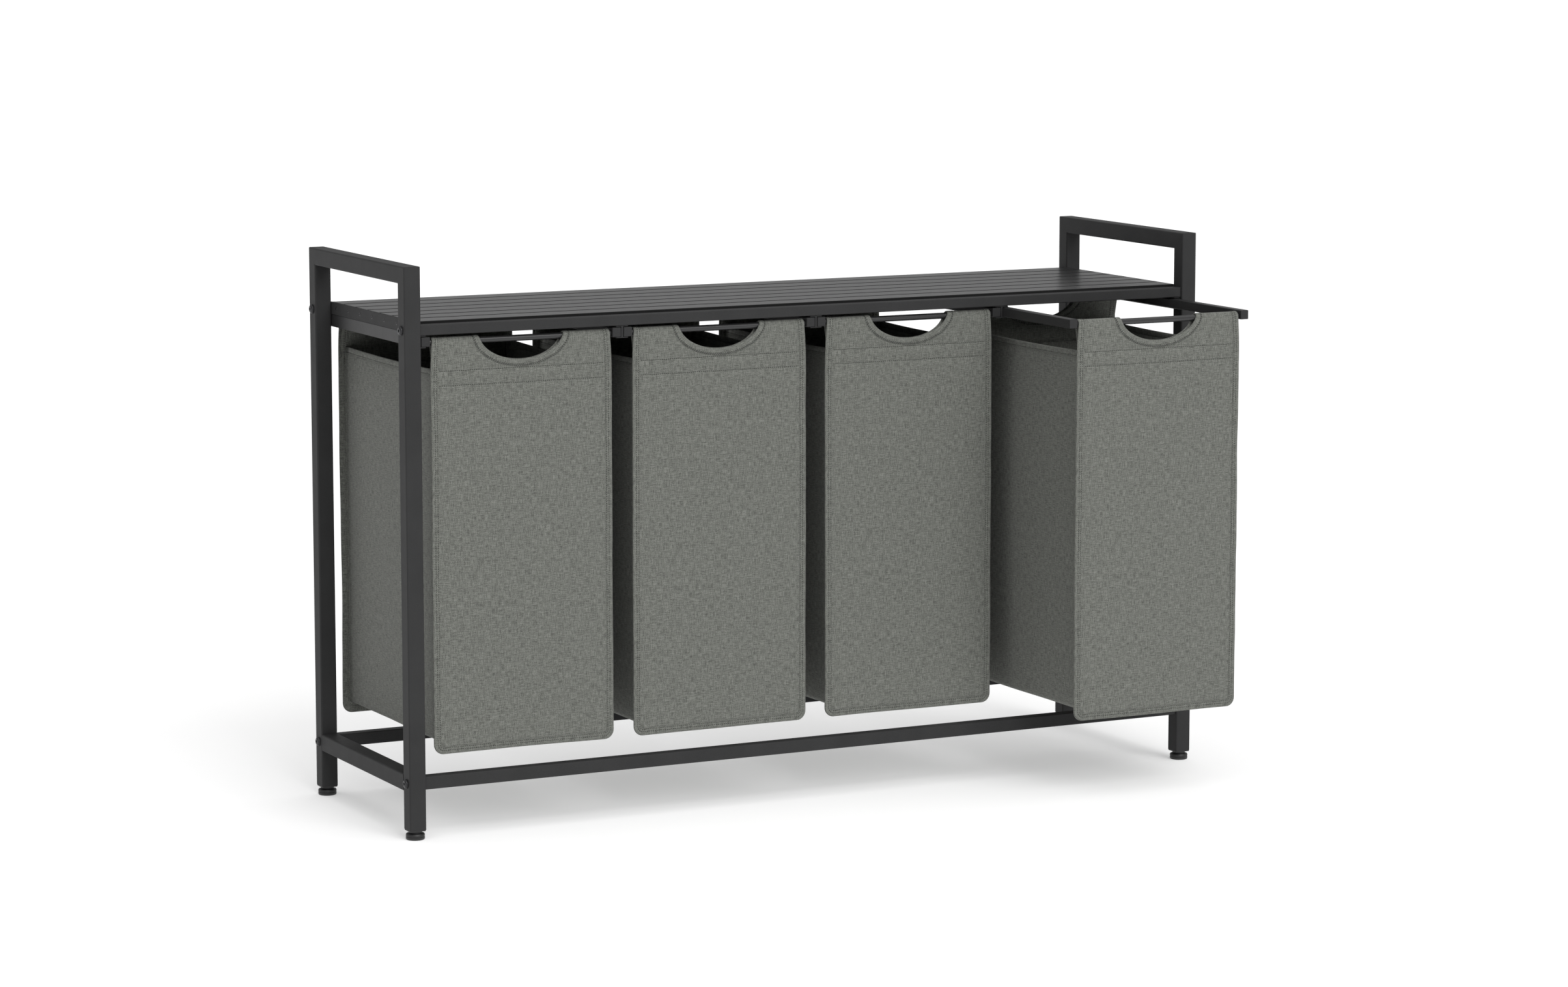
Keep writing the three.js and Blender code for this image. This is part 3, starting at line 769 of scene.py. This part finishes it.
class SORTER_OT_make_feet(bpy.types.Operator):
    """Make the round levelling feet with their threaded studs"""
    bl_idname = "sorter.make_feet"
    bl_label = "Make the feet"

    def execute(self, context):
        for side, end in CORNERS:
            self.make_foot(f"{side}_{end}_foot")
        return {"FINISHED"}

    def make_foot(self, node):
        """One foot: soft edged pad, waisted neck and ringed stud."""
        low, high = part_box(node)
        middle = centre_of(low, high)
        pad, neck, stud = 12.0 * MM, 8.5 * MM, 4.0 * MM         # radii
        pad_top, neck_top = 8.0 * MM, 12.2 * MM                 # heights
        line, thread, point = 0.5 * MM, 0.5 * MM, 0.6 * MM      # depths cut into the pad and the stud
        thread_pitch = 1.25 * MM
        profile = [(0, 0), (pad - 1.2 * MM, 0), (pad - 0.4 * MM, 0.4 * MM), (pad, 1.3 * MM),
                   (pad, 3.4 * MM), (pad - line, 3.7 * MM), (pad - line, 4.3 * MM),
                   (pad, 4.6 * MM), (pad, pad_top - 1.4 * MM), (pad - line, pad_top - line),
                   (pad - 1.6 * MM, pad_top), (neck + 0.8 * MM, pad_top + 0.3 * MM),
                   (neck, pad_top + 1.2 * MM), (neck, neck_top - 0.4 * MM), (neck - 0.4 * MM, neck_top)]
        height = neck_top
        profile.append((stud, height))
        while height + thread_pitch < high.z - 0.8 * MM:
            profile += [(stud, height + 0.35 * MM), (stud - thread, height + thread_pitch / 2),
                        (stud, height + thread_pitch - 0.05 * MM)]
            height += thread_pitch
        profile += [(stud, high.z - point), (stud - point, high.z), (0, high.z)]
        bm = turned(profile, settings().stand.round_steps)
        bmesh.ops.translate(bm, verts=bm.verts, vec=(middle.x, middle.y, 0))
        piece = finish_piece(bm, node + "_turned", node, foot_plastic())
        add_crisp_edges(piece)
        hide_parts(node)


class SORTER_OT_make_caps(bpy.types.Operator):
    """Make the end caps of the bag rails and the plug rims under the legs"""
    bl_idname = "sorter.make_caps"
    bl_label = "Make the caps and plugs"

    def execute(self, context):
        stand = settings().stand
        sunk = 0.2 * MM    # how far a cap's plate starts inside its rail
        for bag in BAGS:
            for side, end in CORNERS:
                low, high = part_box(f"bag_{bag}_{side}_rail")
                near, far = low.y - stand.cap_lift, low.y + sunk
                if end == "rear":
                    near, far = high.y - sunk, high.y + stand.cap_lift
                self.make_cap(f"bag_{bag}", f"bag_{bag}_{side}_rail_{end}_cap", low, high, near, far)
        for side, end in CORNERS:
            self.make_rim(stand, f"{side}_{end}")
        return {"FINISHED"}

    def make_cap(self, body, name, low, high, near, far):
        """A square cap with soft corners, a hair smaller than its rail."""
        margin = 0.35 * MM    # also the width of the soft edges
        bm = bmesh.new()
        bmesh.ops.create_cube(bm, size=1)
        size = (high.x - low.x - 2 * margin, far - near, high.z - low.z - 2 * margin)
        bmesh.ops.scale(bm, vec=size, verts=bm.verts)
        bmesh.ops.bevel(bm, geom=bm.edges[:], offset=margin, offset_type="OFFSET", segments=2,
                        profile=0.5, affect="EDGES", material=-1)
        middle = centre_of(low, high)
        bmesh.ops.translate(bm, verts=bm.verts, vec=(middle.x, (near + far) / 2, middle.z))
        finish_piece(bm, name, body, rail_paint(), smooth=False)

    def make_rim(self, stand, corner):
        """The rim of a leg's plug: a rounded square plate with a round hole for the foot's neck."""
        low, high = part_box(corner + "_leg")
        middle = centre_of(low, high)
        half = (high.x - low.x) / 2 - 0.3 * MM
        hole, corner_radius, steps = 8.9 * MM, 2.0 * MM, 48
        corner_reach = half * math.sqrt(2) - corner_radius * (math.sqrt(2) - 1)
        rings = []
        bm = bmesh.new()
        for height in (low.z - 0.1 * MM, low.z - stand.plug_height):
            for is_hole in (True, False):
                ring = bmesh.ops.create_circle(bm, segments=steps, radius=hole)["verts"]
                for vert in ring:
                    if not is_hole:
                        angle = math.atan2(vert.co.y, vert.co.x)
                        reach = half / max(abs(math.cos(angle)), abs(math.sin(angle)))
                        reach = min(reach, corner_reach)
                        vert.co.x = reach * math.cos(angle)
                        vert.co.y = reach * math.sin(angle)
                    vert.co.z = height
                rings.append(list({edge for vert in ring for edge in vert.link_edges}))
        for first, second in ((0, 1), (1, 3), (3, 2), (2, 0)):
            bmesh.ops.bridge_loops(bm, edges=rings[first] + rings[second])
        bmesh.ops.recalc_face_normals(bm, faces=bm.faces)
        bmesh.ops.translate(bm, verts=bm.verts, vec=(middle.x, middle.y, 0))
        finish_piece(bm, corner + "_plug_rim", "stand", foot_plastic(), smooth=False)


class SORTER_OT_make_rods(bpy.types.Operator):
    """Make the smooth round rods that carry the bags"""
    bl_idname = "sorter.make_rods"
    bl_label = "Make the rods"

    def execute(self, context):
        for bag in BAGS:
            for end in ENDS:
                node = f"bag_{bag}_{end}_rod"
                low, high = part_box(node)
                radius = (high.z - low.z) / 2
                half = (high.x - low.x) / 2
                edge = 0.3 * MM
                profile = [(0, -half), (radius - edge, -half), (radius, -half + edge),
                           (radius, half - edge), (radius - edge, half), (0, half)]
                bm = turned(profile, settings().stand.round_steps)
                bmesh.ops.transform(bm, matrix=Matrix.Rotation(math.pi / 2, 4, "Y"), verts=bm.verts)
                bmesh.ops.translate(bm, verts=bm.verts, vec=centre_of(low, high))
                piece = finish_piece(bm, node + "_round", f"bag_{bag}", rod_enamel())
                add_crisp_edges(piece)
                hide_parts(node)
        return {"FINISHED"}


# ---------------------------------------------------------------- the bags

class Bag:
    """The places of one bag's flat cloth once it is sewn and hangs on its rods."""

    def __init__(self, number):
        sizes = settings().bag
        low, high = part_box(f"bag_{number}_cloth")
        rods = {end: centre_of(*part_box(f"bag_{number}_{end}_rod")) for end in ENDS}
        self.number = number
        self.body = f"bag_{number}"
        self.sizes = sizes
        self.low = low
        self.middle = centre_of(low, high)
        self.half_width = (high.x - low.x) / 2
        self.half_depth = (high.y - low.y) / 2
        self.rod_y = {end: rods[end].y for end in ENDS}
        self.rod_z = rods["front"].z
        self.sleeve = high.z - self.rod_z
        self.rod_v = self.rod_z - low.z
        self.crest_v = self.rod_v + self.sleeve * math.pi / 2
        self.flap_v = self.rod_v + self.sleeve * math.pi
        self.upper_row_v = high.z - sizes.upper_row - low.z
        self.lower_row_v = high.z - sizes.lower_row - low.z
        self.flap_fall = self.rod_v - self.upper_row_v
        self.end_v = self.flap_v + self.rod_v - self.lower_row_v + 4 * MM
        self.body_half = self.half_width - sizes.flange
        self.body_low = low.z + sizes.bottom_flange
        self.body_top = high.z - sizes.side_drop
        self.body_corner = 8.0 * MM
        self.wall = self.body_top - self.body_low - self.body_corner
        self.turn = self.body_corner * math.pi / 2
        self.base = 2 * (self.body_half - self.body_corner)
        self.girth = 2 * self.wall + 2 * self.turn + self.base
        self.fold = 2.0 * MM
        self.fold_length = self.fold * math.pi / 2
        self.seam_y = low.y + 2 * sizes.cloth
        self.depth = 2 * (self.middle.y - self.seam_y)
        self.depth_flat = self.depth - 2 * self.fold + 2 * self.fold_length

    def wave(self, point, scale, channel):
        """Soft waves between -1 and 1, each bag and each channel with its own."""
        shift = Vector((self.number * 7.31, channel * 3.17, self.number * 1.93))
        return noise.noise(point * scale + shift)

    def waves(self, point, rows):
        """Sum of soft waves, each given as (scale, channel, weight)."""
        return sum(weight * self.wave(point, scale, channel) for scale, channel, weight in rows)

    def drape(self, point):
        """Lets the sewn shell belly, sag and ripple, and leaves it taut on the rods."""
        sizes = self.sizes
        calm = 12 * MM                       # below the rod, where the cloth still lies flat
        slack, foot = 60 * MM, 40 * MM       # heights over which it loosens, and where the hem waves
        rim_height, rim_drop, rim_in = 50 * MM, 2.4 * MM, 1.4 * MM    # of a side wall's top edge
        width, depth = 0.93, 0.97            # shares of the bag where the swelling ends
        across = (point.x - self.middle.x) / self.half_width
        through = (point.y - self.middle.y) / self.half_depth
        height = point.z - self.low.z
        share = min(1.0, max(0.0, height / self.upper_row_v))
        loose = min(1.0, max(0.0, (self.rod_v - calm - height) / slack))
        loose = loose * loose * (3 - 2 * loose)
        swell = math.sin(math.pi * share) ** 0.8 if 0 < share < 1 else 0.0
        moved = point.copy()
        inner = max(0.0, 1 - (across / width) ** 2)
        between = max(0.0, 1 - (through / depth) ** 2)
        facing = min(1.0, abs(through)) ** 8
        flank = min(1.0, abs(across) / width) ** 6
        moved.y += math.copysign(1, through) * sizes.crown * inner * swell * facing
        moved.x += math.copysign(1, across) * sizes.belly * between * swell * flank
        settle = max(0.0, 1 - height / slack)
        moved.z -= sizes.sag * inner * between * settle * settle
        broad = self.waves(point, ((6.0, 1, 1.2), (13.0, 2, 0.6)))
        moved.y += sizes.ripple * broad * loose * facing
        side = self.waves(point, ((7.0, 3, 1.3), (16.0, 4, 0.5)))
        moved.x += sizes.ripple * side * loose * flank * (0.35 + 0.65 * between)
        edge = max(0.0, abs(across) - 0.90) / 0.10
        moved.y += 0.8 * MM * self.wave(point, 24.0, 5) * edge * loose
        moved.z += 0.9 * MM * self.wave(point, 9.0, 6) * max(0.0, 1 - height / foot)
        rim = max(0.0, 1 - abs(self.body_top - point.z) / rim_height) * between * flank
        moved.z -= rim_drop * rim
        moved.x -= math.copysign(1, across) * rim_in * rim
        return moved

    def panel_place(self, end):
        """Where a flat panel's point (u, v, lift) goes: up the outside, over the rod and down inside."""
        way = -1 if end == "front" else 1
        rod_y = self.rod_y[end]
        cloth = self.sizes.cloth

        def place(u, v, lift):
            past = v - self.rod_v
            if past <= 0:
                out, z = self.sleeve + lift, v
            elif v <= self.flap_v:
                angle = past / self.sleeve
                out = (self.sleeve + lift) * math.cos(angle)
                z = self.rod_v + (self.sleeve + lift) * math.sin(angle)
            else:
                fall = v - self.flap_v
                closing = min(1.0, fall / self.flap_fall)
                out = -self.sleeve + (2 * self.sleeve - 2.05 * cloth) * closing - lift
                z = self.rod_v - fall
            x = self.middle.x - way * u
            return self.drape(Vector((x, rod_y + way * out, self.low.z + z)))

        return place

    def wall_place(self):
        """Where the flat strip of the sides and bottom goes: (depth, girth, lift)."""
        ratio = self.sizes.bottom_flange / self.sizes.flange

        def place(d, s, lift):
            deep = d if d < self.depth_flat / 2 else self.depth_flat - d
            if deep >= self.fold_length:
                out, y, n_out, n_y = 0.0, self.fold + deep - self.fold_length, 1.0, 0.0
            elif deep >= 0:
                angle = deep / self.fold
                n_out, n_y = math.sin(angle), math.cos(angle)
                out, y = self.fold * (1 - n_out), self.fold * (1 - n_y)
            else:
                out, y, n_out, n_y = self.fold - deep, 0.0, 0.0, 1.0
            x, z, nx, nz = self.girth_point(s)
            longer = 1 + (ratio - 1) * max(0.0, -nz)
            reach = out * longer + lift * n_out
            y = y + lift * n_y
            if d < self.depth_flat / 2:
                world_y = self.seam_y + y
            else:
                world_y = self.seam_y + self.depth - y
            return self.drape(Vector((self.middle.x + x + nx * reach, world_y, z + nz * reach)))

        return place

    def girth_point(self, s):
        """Point and outward normal at a distance along the strip, from the left wall's top edge."""
        edge, corner = self.body_half, self.body_corner
        if s > self.girth / 2:
            x, z, nx, nz = self.girth_point(self.girth - s)
            return -x, z, -nx, nz
        if s <= self.wall:
            return -edge, self.body_top - s, -1.0, 0.0
        if s <= self.wall + self.turn:
            angle = (s - self.wall) / corner
            nx, nz = -math.cos(angle), -math.sin(angle)
            return -edge + corner + corner * nx, self.body_low + corner + corner * nz, nx, nz
        return -edge + corner + s - self.wall - self.turn, self.body_low, 0.0, -1.0

    def grip_ellipse(self, steps):
        """The flat hole over the rod, clockwise, so that cloth lies to the left of the path."""
        half = self.sizes.grip_width / 2
        rise = self.crest_v - self.rod_v + self.sizes.grip_depth - self.sleeve
        return arc((0, self.crest_v), (half, rise), 90, 90 - 360, steps)[:-1]

    def panel_rows(self):
        """Heights at which a panel is cut: wider apart low down, close on the rod and at the seams."""
        low_cut = self.sizes.bottom_flange    # where the bag's bottom meets the panels
        flap_close = self.flap_v + self.flap_fall
        rows = spaced(0, self.lower_row_v - 2 * MM, BEND_STEP) + [low_cut]
        for row in (self.lower_row_v, self.upper_row_v):
            rows += [row + step * MM for step in (-1.6, -0.5, 0.5, 1.6)]
        rows += spaced(self.lower_row_v + 2 * MM, self.upper_row_v - 2 * MM, 9 * MM)
        rows += spaced(self.upper_row_v + 2 * MM, self.rod_v, 9 * MM) + [self.rod_v]
        rows += spaced(self.rod_v, self.flap_v, self.sleeve * math.pi / 8) + [self.flap_v]
        rows += spaced(self.flap_v, flap_close, 9 * MM) + [flap_close]
        rows += spaced(flap_close, self.end_v, 9 * MM)
        return rows

    def side_edge(self):
        """The right side edge of a flat panel, from its lower corner to the flap's end."""
        sizes = self.sizes
        taper_v = self.crest_v - sizes.taper_height
        narrow = self.half_width - sizes.taper
        low = [(self.half_width, v) for v in spaced(sizes.corner, taper_v, EDGE_STEP)]
        rows = [row for row in sorted(self.panel_rows()) if row > taper_v]
        high = []
        for row in rows:
            share = min(1.0, (row - taper_v) / sizes.taper_height)
            high.append((self.half_width - sizes.taper * share * share, row))
        return low + [(self.half_width, taper_v)] + high + [(narrow, self.end_v)]

    def panel_edge(self):
        """The whole bound edge of a flat panel, down the left side and up the right."""
        sizes = self.sizes
        right = self.side_edge()
        inner = self.half_width - sizes.corner
        corner = arc((inner, sizes.corner), (sizes.corner, sizes.corner), -90, 0, 8)
        half = corner + right
        base = [(u, 0.0) for u in spaced(-inner, inner, EDGE_STEP)]
        return [(-u, v) for u, v in reversed(half)] + base + half


def groove(v, rows):
    """How far a row of stitches pulls the cloth in."""
    near = min(abs(v - row) for row in rows)
    return -GROOVE_DEPTH * max(0.0, 1 - near / GROOVE_REACH)


def make_panel(bag, end):
    """The front or rear of a bag: one cut sheet that hangs over its rod, with the grip opening."""
    sizes = bag.sizes
    half_edge = [point for point in bag.panel_edge() if point[0] > 0.5 * MM]
    inset = 0.25 * MM    # keeps the cut edge inside its tape
    outline = [(0.0, inset)]
    outline += [(u - inset, max(v, inset)) for u, v in half_edge]
    outline += [(0.0, bag.end_v)]
    hole = [point for point in bag.grip_ellipse(72) if point[0] >= -0.01 * MM]
    hole.sort(key=lambda point: -point[1])
    outline += [(max(0.0, u), v) for u, v in hole]
    u_cuts = spaced(0, bag.half_width, EDGE_STEP) + [bag.body_half]
    bm = cut_sheet(outline, u_cuts, bag.panel_rows())
    bmesh.ops.mirror(bm, geom=all_of(bm), matrix=Matrix.Identity(4), merge_dist=MERGE, axis="X")
    bmesh.ops.remove_doubles(bm, verts=bm.verts, dist=MERGE)
    face_up(bm)
    lay_uv(bm)
    for vert in bm.verts:
        vert.co.z = groove(vert.co.y, (bag.upper_row_v, bag.lower_row_v))
    shape(bm, bag.panel_place(end))
    piece = finish_piece(bm, f"bag_{bag.number}_{end}_panel", bag.body, bag_linen())
    add_wall(piece, sizes.cloth)


def add_wall(piece, thickness):
    """Gives a sheet its thickness on its inner side."""
    wall = piece.modifiers.new("Cloth", "SOLIDIFY")
    wall.thickness = thickness
    wall.offset = -1
    wall.use_even_offset = True


def make_walls(bag):
    """The sides and bottom of a bag: one strip whose edges turn out into the seams."""
    turn_out = bag.sizes.flange - bag.fold - 0.8 * MM
    start, stop = -turn_out, bag.depth_flat + turn_out
    outline = [(start, 0), (stop, 0), (stop, bag.girth), (start, bag.girth)]
    fold_cuts = [bag.fold_length * k / 4 for k in range(5)]
    depth_cuts = fold_cuts + [bag.depth_flat - cut for cut in fold_cuts]
    depth_cuts += spaced(bag.fold_length, bag.depth_flat - bag.fold_length, BEND_STEP)
    turn_cuts = [bag.wall + bag.turn * k / 6 for k in range(7)]
    girth_cuts = turn_cuts + [bag.girth - cut for cut in turn_cuts]
    bend = bag.wall + bag.turn
    for start, stop in ((0, bag.wall), (bag.girth - bag.wall, bag.girth), (bend, bag.girth - bend)):
        girth_cuts += spaced(start, stop, BEND_STEP)
    bm = cut_sheet(outline, depth_cuts, girth_cuts)
    face_up(bm)
    lay_uv(bm)
    shape(bm, bag.wall_place())
    piece = finish_piece(bm, f"bag_{bag.number}_walls", bag.body, bag_linen())
    add_wall(piece, bag.sizes.cloth)
    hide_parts(f"bag_{bag.number}_cloth")


def bound_section(width, tape, depth, rows):
    """The closed cut of a folded tape round an edge that is depth thick, dimpled at its stitch rows."""
    front = [(width, -0.05 * MM), (width - 0.15 * MM, tape * 0.8)]
    for row in sorted(rows, reverse=True):
        front += [(row + 1.0 * MM, tape), (row, tape * 0.35), (row - 1.0 * MM, tape)]
    front += [(0.7 * MM, tape), (-tape * 0.6, tape * 0.3), (-tape, -depth * 0.25)]
    back = [(-tape, -depth * 0.75), (-tape * 0.6, -depth - tape * 0.3), (0.7 * MM, -depth - tape),
            (width - 0.3 * MM, -depth - tape), (width, -depth - tape * 0.3)]
    inside = [(0.5 * MM, -depth - 0.02 * MM), (0.1 * MM, -depth / 2), (0.5 * MM, 0.02 * MM)]
    return front + back + inside


def make_edge_tape(bag, end):
    """The tape that binds a panel's sides and bottom together with the walls' seam."""
    sizes = bag.sizes
    seam_top = bag.body_top - bag.low.z

    def section(point):
        single = min(1.0, max(0.0, (point[1] - seam_top + 14 * MM) / (12 * MM)))
        depth = sizes.cloth * (2 - single)
        return bound_section(sizes.tape_width, sizes.tape, depth, EDGE_ROWS)

    bm = bent_tape(bag.panel_edge(), section, False, bag.panel_place(end))
    finish_piece(bm, f"bag_{bag.number}_{end}_edge_tape", bag.body, bag_linen())


def make_grip_tape(bag, end):
    """The tape round the grip opening, on the outside, over the rod and on the flap."""
    sizes = bag.sizes

    def section(point):
        return bound_section(sizes.tape_width, sizes.tape, sizes.cloth, GRIP_ROWS)

    bm = bent_tape(bag.grip_ellipse(GRIP_STEPS), section, True, bag.panel_place(end))
    finish_piece(bm, f"bag_{bag.number}_{end}_grip_tape", bag.body, bag_linen())


def make_hem(bag, side):
    """The folded hem along the top edge of a side wall."""
    sizes = bag.sizes
    depths = spaced(bag.fold_length * 0.5, bag.depth_flat - bag.fold_length * 0.5, 10 * MM)
    if side == "left":
        points = [(depth, 0.0) for depth in depths]
    else:
        points = [(depth, bag.girth) for depth in reversed(depths)]

    def section(point):
        return bound_section(sizes.hem, sizes.tape, sizes.cloth, (HEM_ROW,))

    bm = bent_tape(points, section, False, bag.wall_place())
    finish_piece(bm, f"bag_{bag.number}_{side}_hem", bag.body, bag_linen())


def offset_path(points, inset, closed):
    """A path moved to its left."""
    return [(p[0] + n[0] * inset, p[1] + n[1] * inset) for p, n, _ in along(points, closed)]


def stitch_spots(points, pitch, closed):
    """Evenly spaced (point, direction) along a path."""
    spots = []
    path = points + [points[0]] if closed else points
    ahead = pitch / 2
    for start, stop in zip(path, path[1:]):
        run = Vector((stop[0] - start[0], stop[1] - start[1]))
        length = run.length
        if length < MERGE:
            continue
        run.normalize()
        while ahead < length:
            spots.append((Vector(start) + run * ahead, run))
            ahead += pitch
        ahead -= length
    return spots


def sew(bm, points, closed, place, lift, sizes):
    """Adds a row of small stitches along a flat path."""
    tiny = 0.1 * MM
    for spot, run in stitch_spots(points, sizes.stitch_pitch, closed):
        here = place(spot.x, spot.y, lift)
        forward = (place(spot.x + run.x * tiny, spot.y + run.y * tiny, lift) - here).normalized()
        up = (place(spot.x, spot.y, lift + tiny) - here).normalized()
        across = forward.cross(up).normalized()
        turn = Matrix((forward, across, up)).transposed().to_4x4()
        made = bmesh.ops.create_cube(bm, size=1)["verts"]
        for vert in made:
            pinch = STITCH_PINCH if vert.co.z > 0 else 1.0
            vert.co.x *= sizes.stitch * pinch
            vert.co.y *= STITCH_WIDTH * pinch
            vert.co.z *= STITCH_HEIGHT
        bmesh.ops.transform(bm, matrix=Matrix.Translation(here) @ turn, verts=made)


def row_path(bag, v):
    """A straight row from one side tape to the other."""
    reach = bag.half_width - bag.sizes.tape_width - 2 * MM
    return [(-reach, v), (reach, v)]


def make_stitching(bag, end):
    """All the stitch rows of one panel."""
    sizes = bag.sizes
    place = bag.panel_place(end)
    bm = bmesh.new()
    on_tape, in_groove = sizes.tape * 0.55, -0.25 * MM
    for path, closed, rows in ((bag.panel_edge(), False, EDGE_ROWS),
                               (bag.grip_ellipse(GRIP_STEPS), True, GRIP_ROWS)):
        for inset in rows:
            sew(bm, offset_path(path, inset, closed), closed, place, on_tape, sizes)
    for row in (bag.upper_row_v, bag.lower_row_v):
        sew(bm, row_path(bag, row), False, place, in_groove, sizes)
    name = f"bag_{bag.number}_{end}_stitching"
    finish_piece(bm, name, bag.body, thread_and_hole_shade(), smooth=False)


def make_hem_stitching(bag):
    """The stitch rows of both side hems."""
    sizes = bag.sizes
    place = bag.wall_place()
    bm = bmesh.new()
    start = bag.fold_length * 1.5
    for girth in (HEM_ROW, bag.girth - HEM_ROW):
        ends = [(start, girth), (bag.depth_flat - start, girth)]
        sew(bm, ends, False, place, sizes.tape * 0.55, sizes)
    name = f"bag_{bag.number}_hem_stitching"
    finish_piece(bm, name, bag.body, thread_and_hole_shade(), smooth=False)


class SORTER_OT_make_bag_panels(bpy.types.Operator):
    """Cut and hang the front and rear panels of the bags"""
    bl_idname = "sorter.make_bag_panels"
    bl_label = "Make the bag panels"

    def execute(self, context):
        for number in BAGS:
            for end in ENDS:
                make_panel(Bag(number), end)
        return {"FINISHED"}


class SORTER_OT_make_bag_walls(bpy.types.Operator):
    """Make the sides and bottoms of the bags"""
    bl_idname = "sorter.make_bag_walls"
    bl_label = "Make the bag walls"

    def execute(self, context):
        for number in BAGS:
            make_walls(Bag(number))
        return {"FINISHED"}


class SORTER_OT_make_bag_tapes(bpy.types.Operator):
    """Bind the bags' edges, grips and hems"""
    bl_idname = "sorter.make_bag_tapes"
    bl_label = "Bind the bag edges"

    def execute(self, context):
        for number in BAGS:
            bag = Bag(number)
            for end in ENDS:
                make_edge_tape(bag, end)
                make_grip_tape(bag, end)
            for side in SIDES:
                make_hem(bag, side)
        return {"FINISHED"}


class SORTER_OT_make_bag_stitching(bpy.types.Operator):
    """Sew the rows of stitches on the bags"""
    bl_idname = "sorter.make_bag_stitching"
    bl_label = "Sew the bags"

    def execute(self, context):
        for number in BAGS:
            bag = Bag(number)
            for end in ENDS:
                make_stitching(bag, end)
            make_hem_stitching(bag)
        return {"FINISHED"}


# ---------------------------------------------------------------- the stage

def add_sun(name, strength, spread, tilt, turn):
    """A soft light from far away. tilt is from straight down, turn is about Z, both in degrees."""
    lamp = bpy.data.lights.new(name, "SUN")
    lamp.energy = strength
    lamp.angle = math.radians(spread)
    light = bpy.data.objects.new(name, lamp)
    light.rotation_euler = Euler((math.radians(tilt), 0, math.radians(turn)))
    bpy.context.scene.collection.objects.link(light)


class SORTER_OT_set_stage(bpy.types.Operator):
    """Set the floor, the lights and the camera"""
    bl_idname = "sorter.set_stage"
    bl_label = "Set the stage"

    def execute(self, context):
        stage = settings().stage
        scene = context.scene
        bm = bmesh.new()
        bmesh.ops.create_grid(bm, x_segments=1, y_segments=1, size=150)
        mesh = bpy.data.meshes.new("floor")
        bm.to_mesh(mesh)
        bm.free()
        floor = bpy.data.objects.new("floor", mesh)
        scene.collection.objects.link(floor)
        pale = bpy.data.materials.new("floor_pale")
        pale.use_nodes = True
        shader = pale.node_tree.nodes["Principled BSDF"]
        shader.inputs["Base Color"].default_value = (*stage.floor_colour, 1)
        shader.inputs["Roughness"].default_value = 0.9
        shader.inputs["Specular IOR Level"].default_value = 0.2
        shader.inputs["Emission Color"].default_value = (1, 1, 1, 1)
        shader.inputs["Emission Strength"].default_value = stage.floor_glow
        mesh.materials.append(pale)
        world = bpy.data.worlds.new("room")
        world.use_nodes = True
        background = world.node_tree.nodes["Background"]
        background.inputs["Color"].default_value = (1, 1, 1, 1)
        background.inputs["Strength"].default_value = stage.sky
        scene.world = world
        add_sun("key_light", stage.key, 40, 55, 6)
        add_sun("top_light", stage.top, 70, 12, 0)
        self.add_camera(scene, stage)
        scene.view_settings.view_transform = "Standard"
        scene.view_settings.look = "None"
        return {"FINISHED"}

    def add_camera(self, scene, stage):
        """The camera at its place, looking right and slightly down."""
        lens = bpy.data.cameras.new("camera")
        lens.sensor_width = 36
        lens.lens = stage.camera_lens
        lens.clip_start = 0.05
        lens.clip_end = 400
        camera = bpy.data.objects.new("camera", lens)
        camera.location = stage.camera_place
        turn, tilt = stage.camera_turn, stage.camera_tilt
        level = math.cos(tilt)
        ahead = Vector((math.sin(turn) * level, math.cos(turn) * level, -math.sin(tilt)))
        camera.rotation_euler = ahead.to_track_quat("-Z", "Y").to_euler()
        scene.collection.objects.link(camera)
        scene.camera = camera


# ---------------------------------------------------------------- add-on

OPERATORS = (
    SORTER_OT_set_stage,
    SORTER_OT_paint_stand,
    SORTER_OT_paint_shelf,
    SORTER_OT_paint_slides,
    SORTER_OT_make_bolts,
    SORTER_OT_make_screws,
    SORTER_OT_make_feet,
    SORTER_OT_make_caps,
    SORTER_OT_make_rods,
    SORTER_OT_make_bag_panels,
    SORTER_OT_make_bag_walls,
    SORTER_OT_make_bag_tapes,
    SORTER_OT_make_bag_stitching,
)


class SORTER_PT_panel(bpy.types.Panel):
    """Lists the sorter's steps and its sizes and colours"""
    bl_label = "Laundry sorter"
    bl_space_type = "VIEW_3D"
    bl_region_type = "UI"
    bl_category = "Sorter"

    def draw(self, context):
        layout = self.layout
        sorter = context.scene.laundry_sorter
        for operator in OPERATORS:
            layout.operator(operator.bl_idname)
        for group in (sorter.stand, sorter.bag, sorter.stage):
            box = layout.box()
            for name in group.__annotations__:
                box.prop(group, name)


CLASSES = (StandSettings, BagSettings, StageSettings, SorterSettings, *OPERATORS, SORTER_PT_panel)


def register():
    for cls in CLASSES:
        bpy.utils.register_class(cls)
    bpy.types.Scene.laundry_sorter = PointerProperty(type=SorterSettings)


def unregister():
    del bpy.types.Scene.laundry_sorter
    for cls in reversed(CLASSES):
        bpy.utils.unregister_class(cls)


def main():
    """Registers the add-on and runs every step."""
    register()
    for operator in OPERATORS:
        space, name = operator.bl_idname.split(".")
        getattr(getattr(bpy.ops, space), name)()


if __name__ == "__main__":
    main()
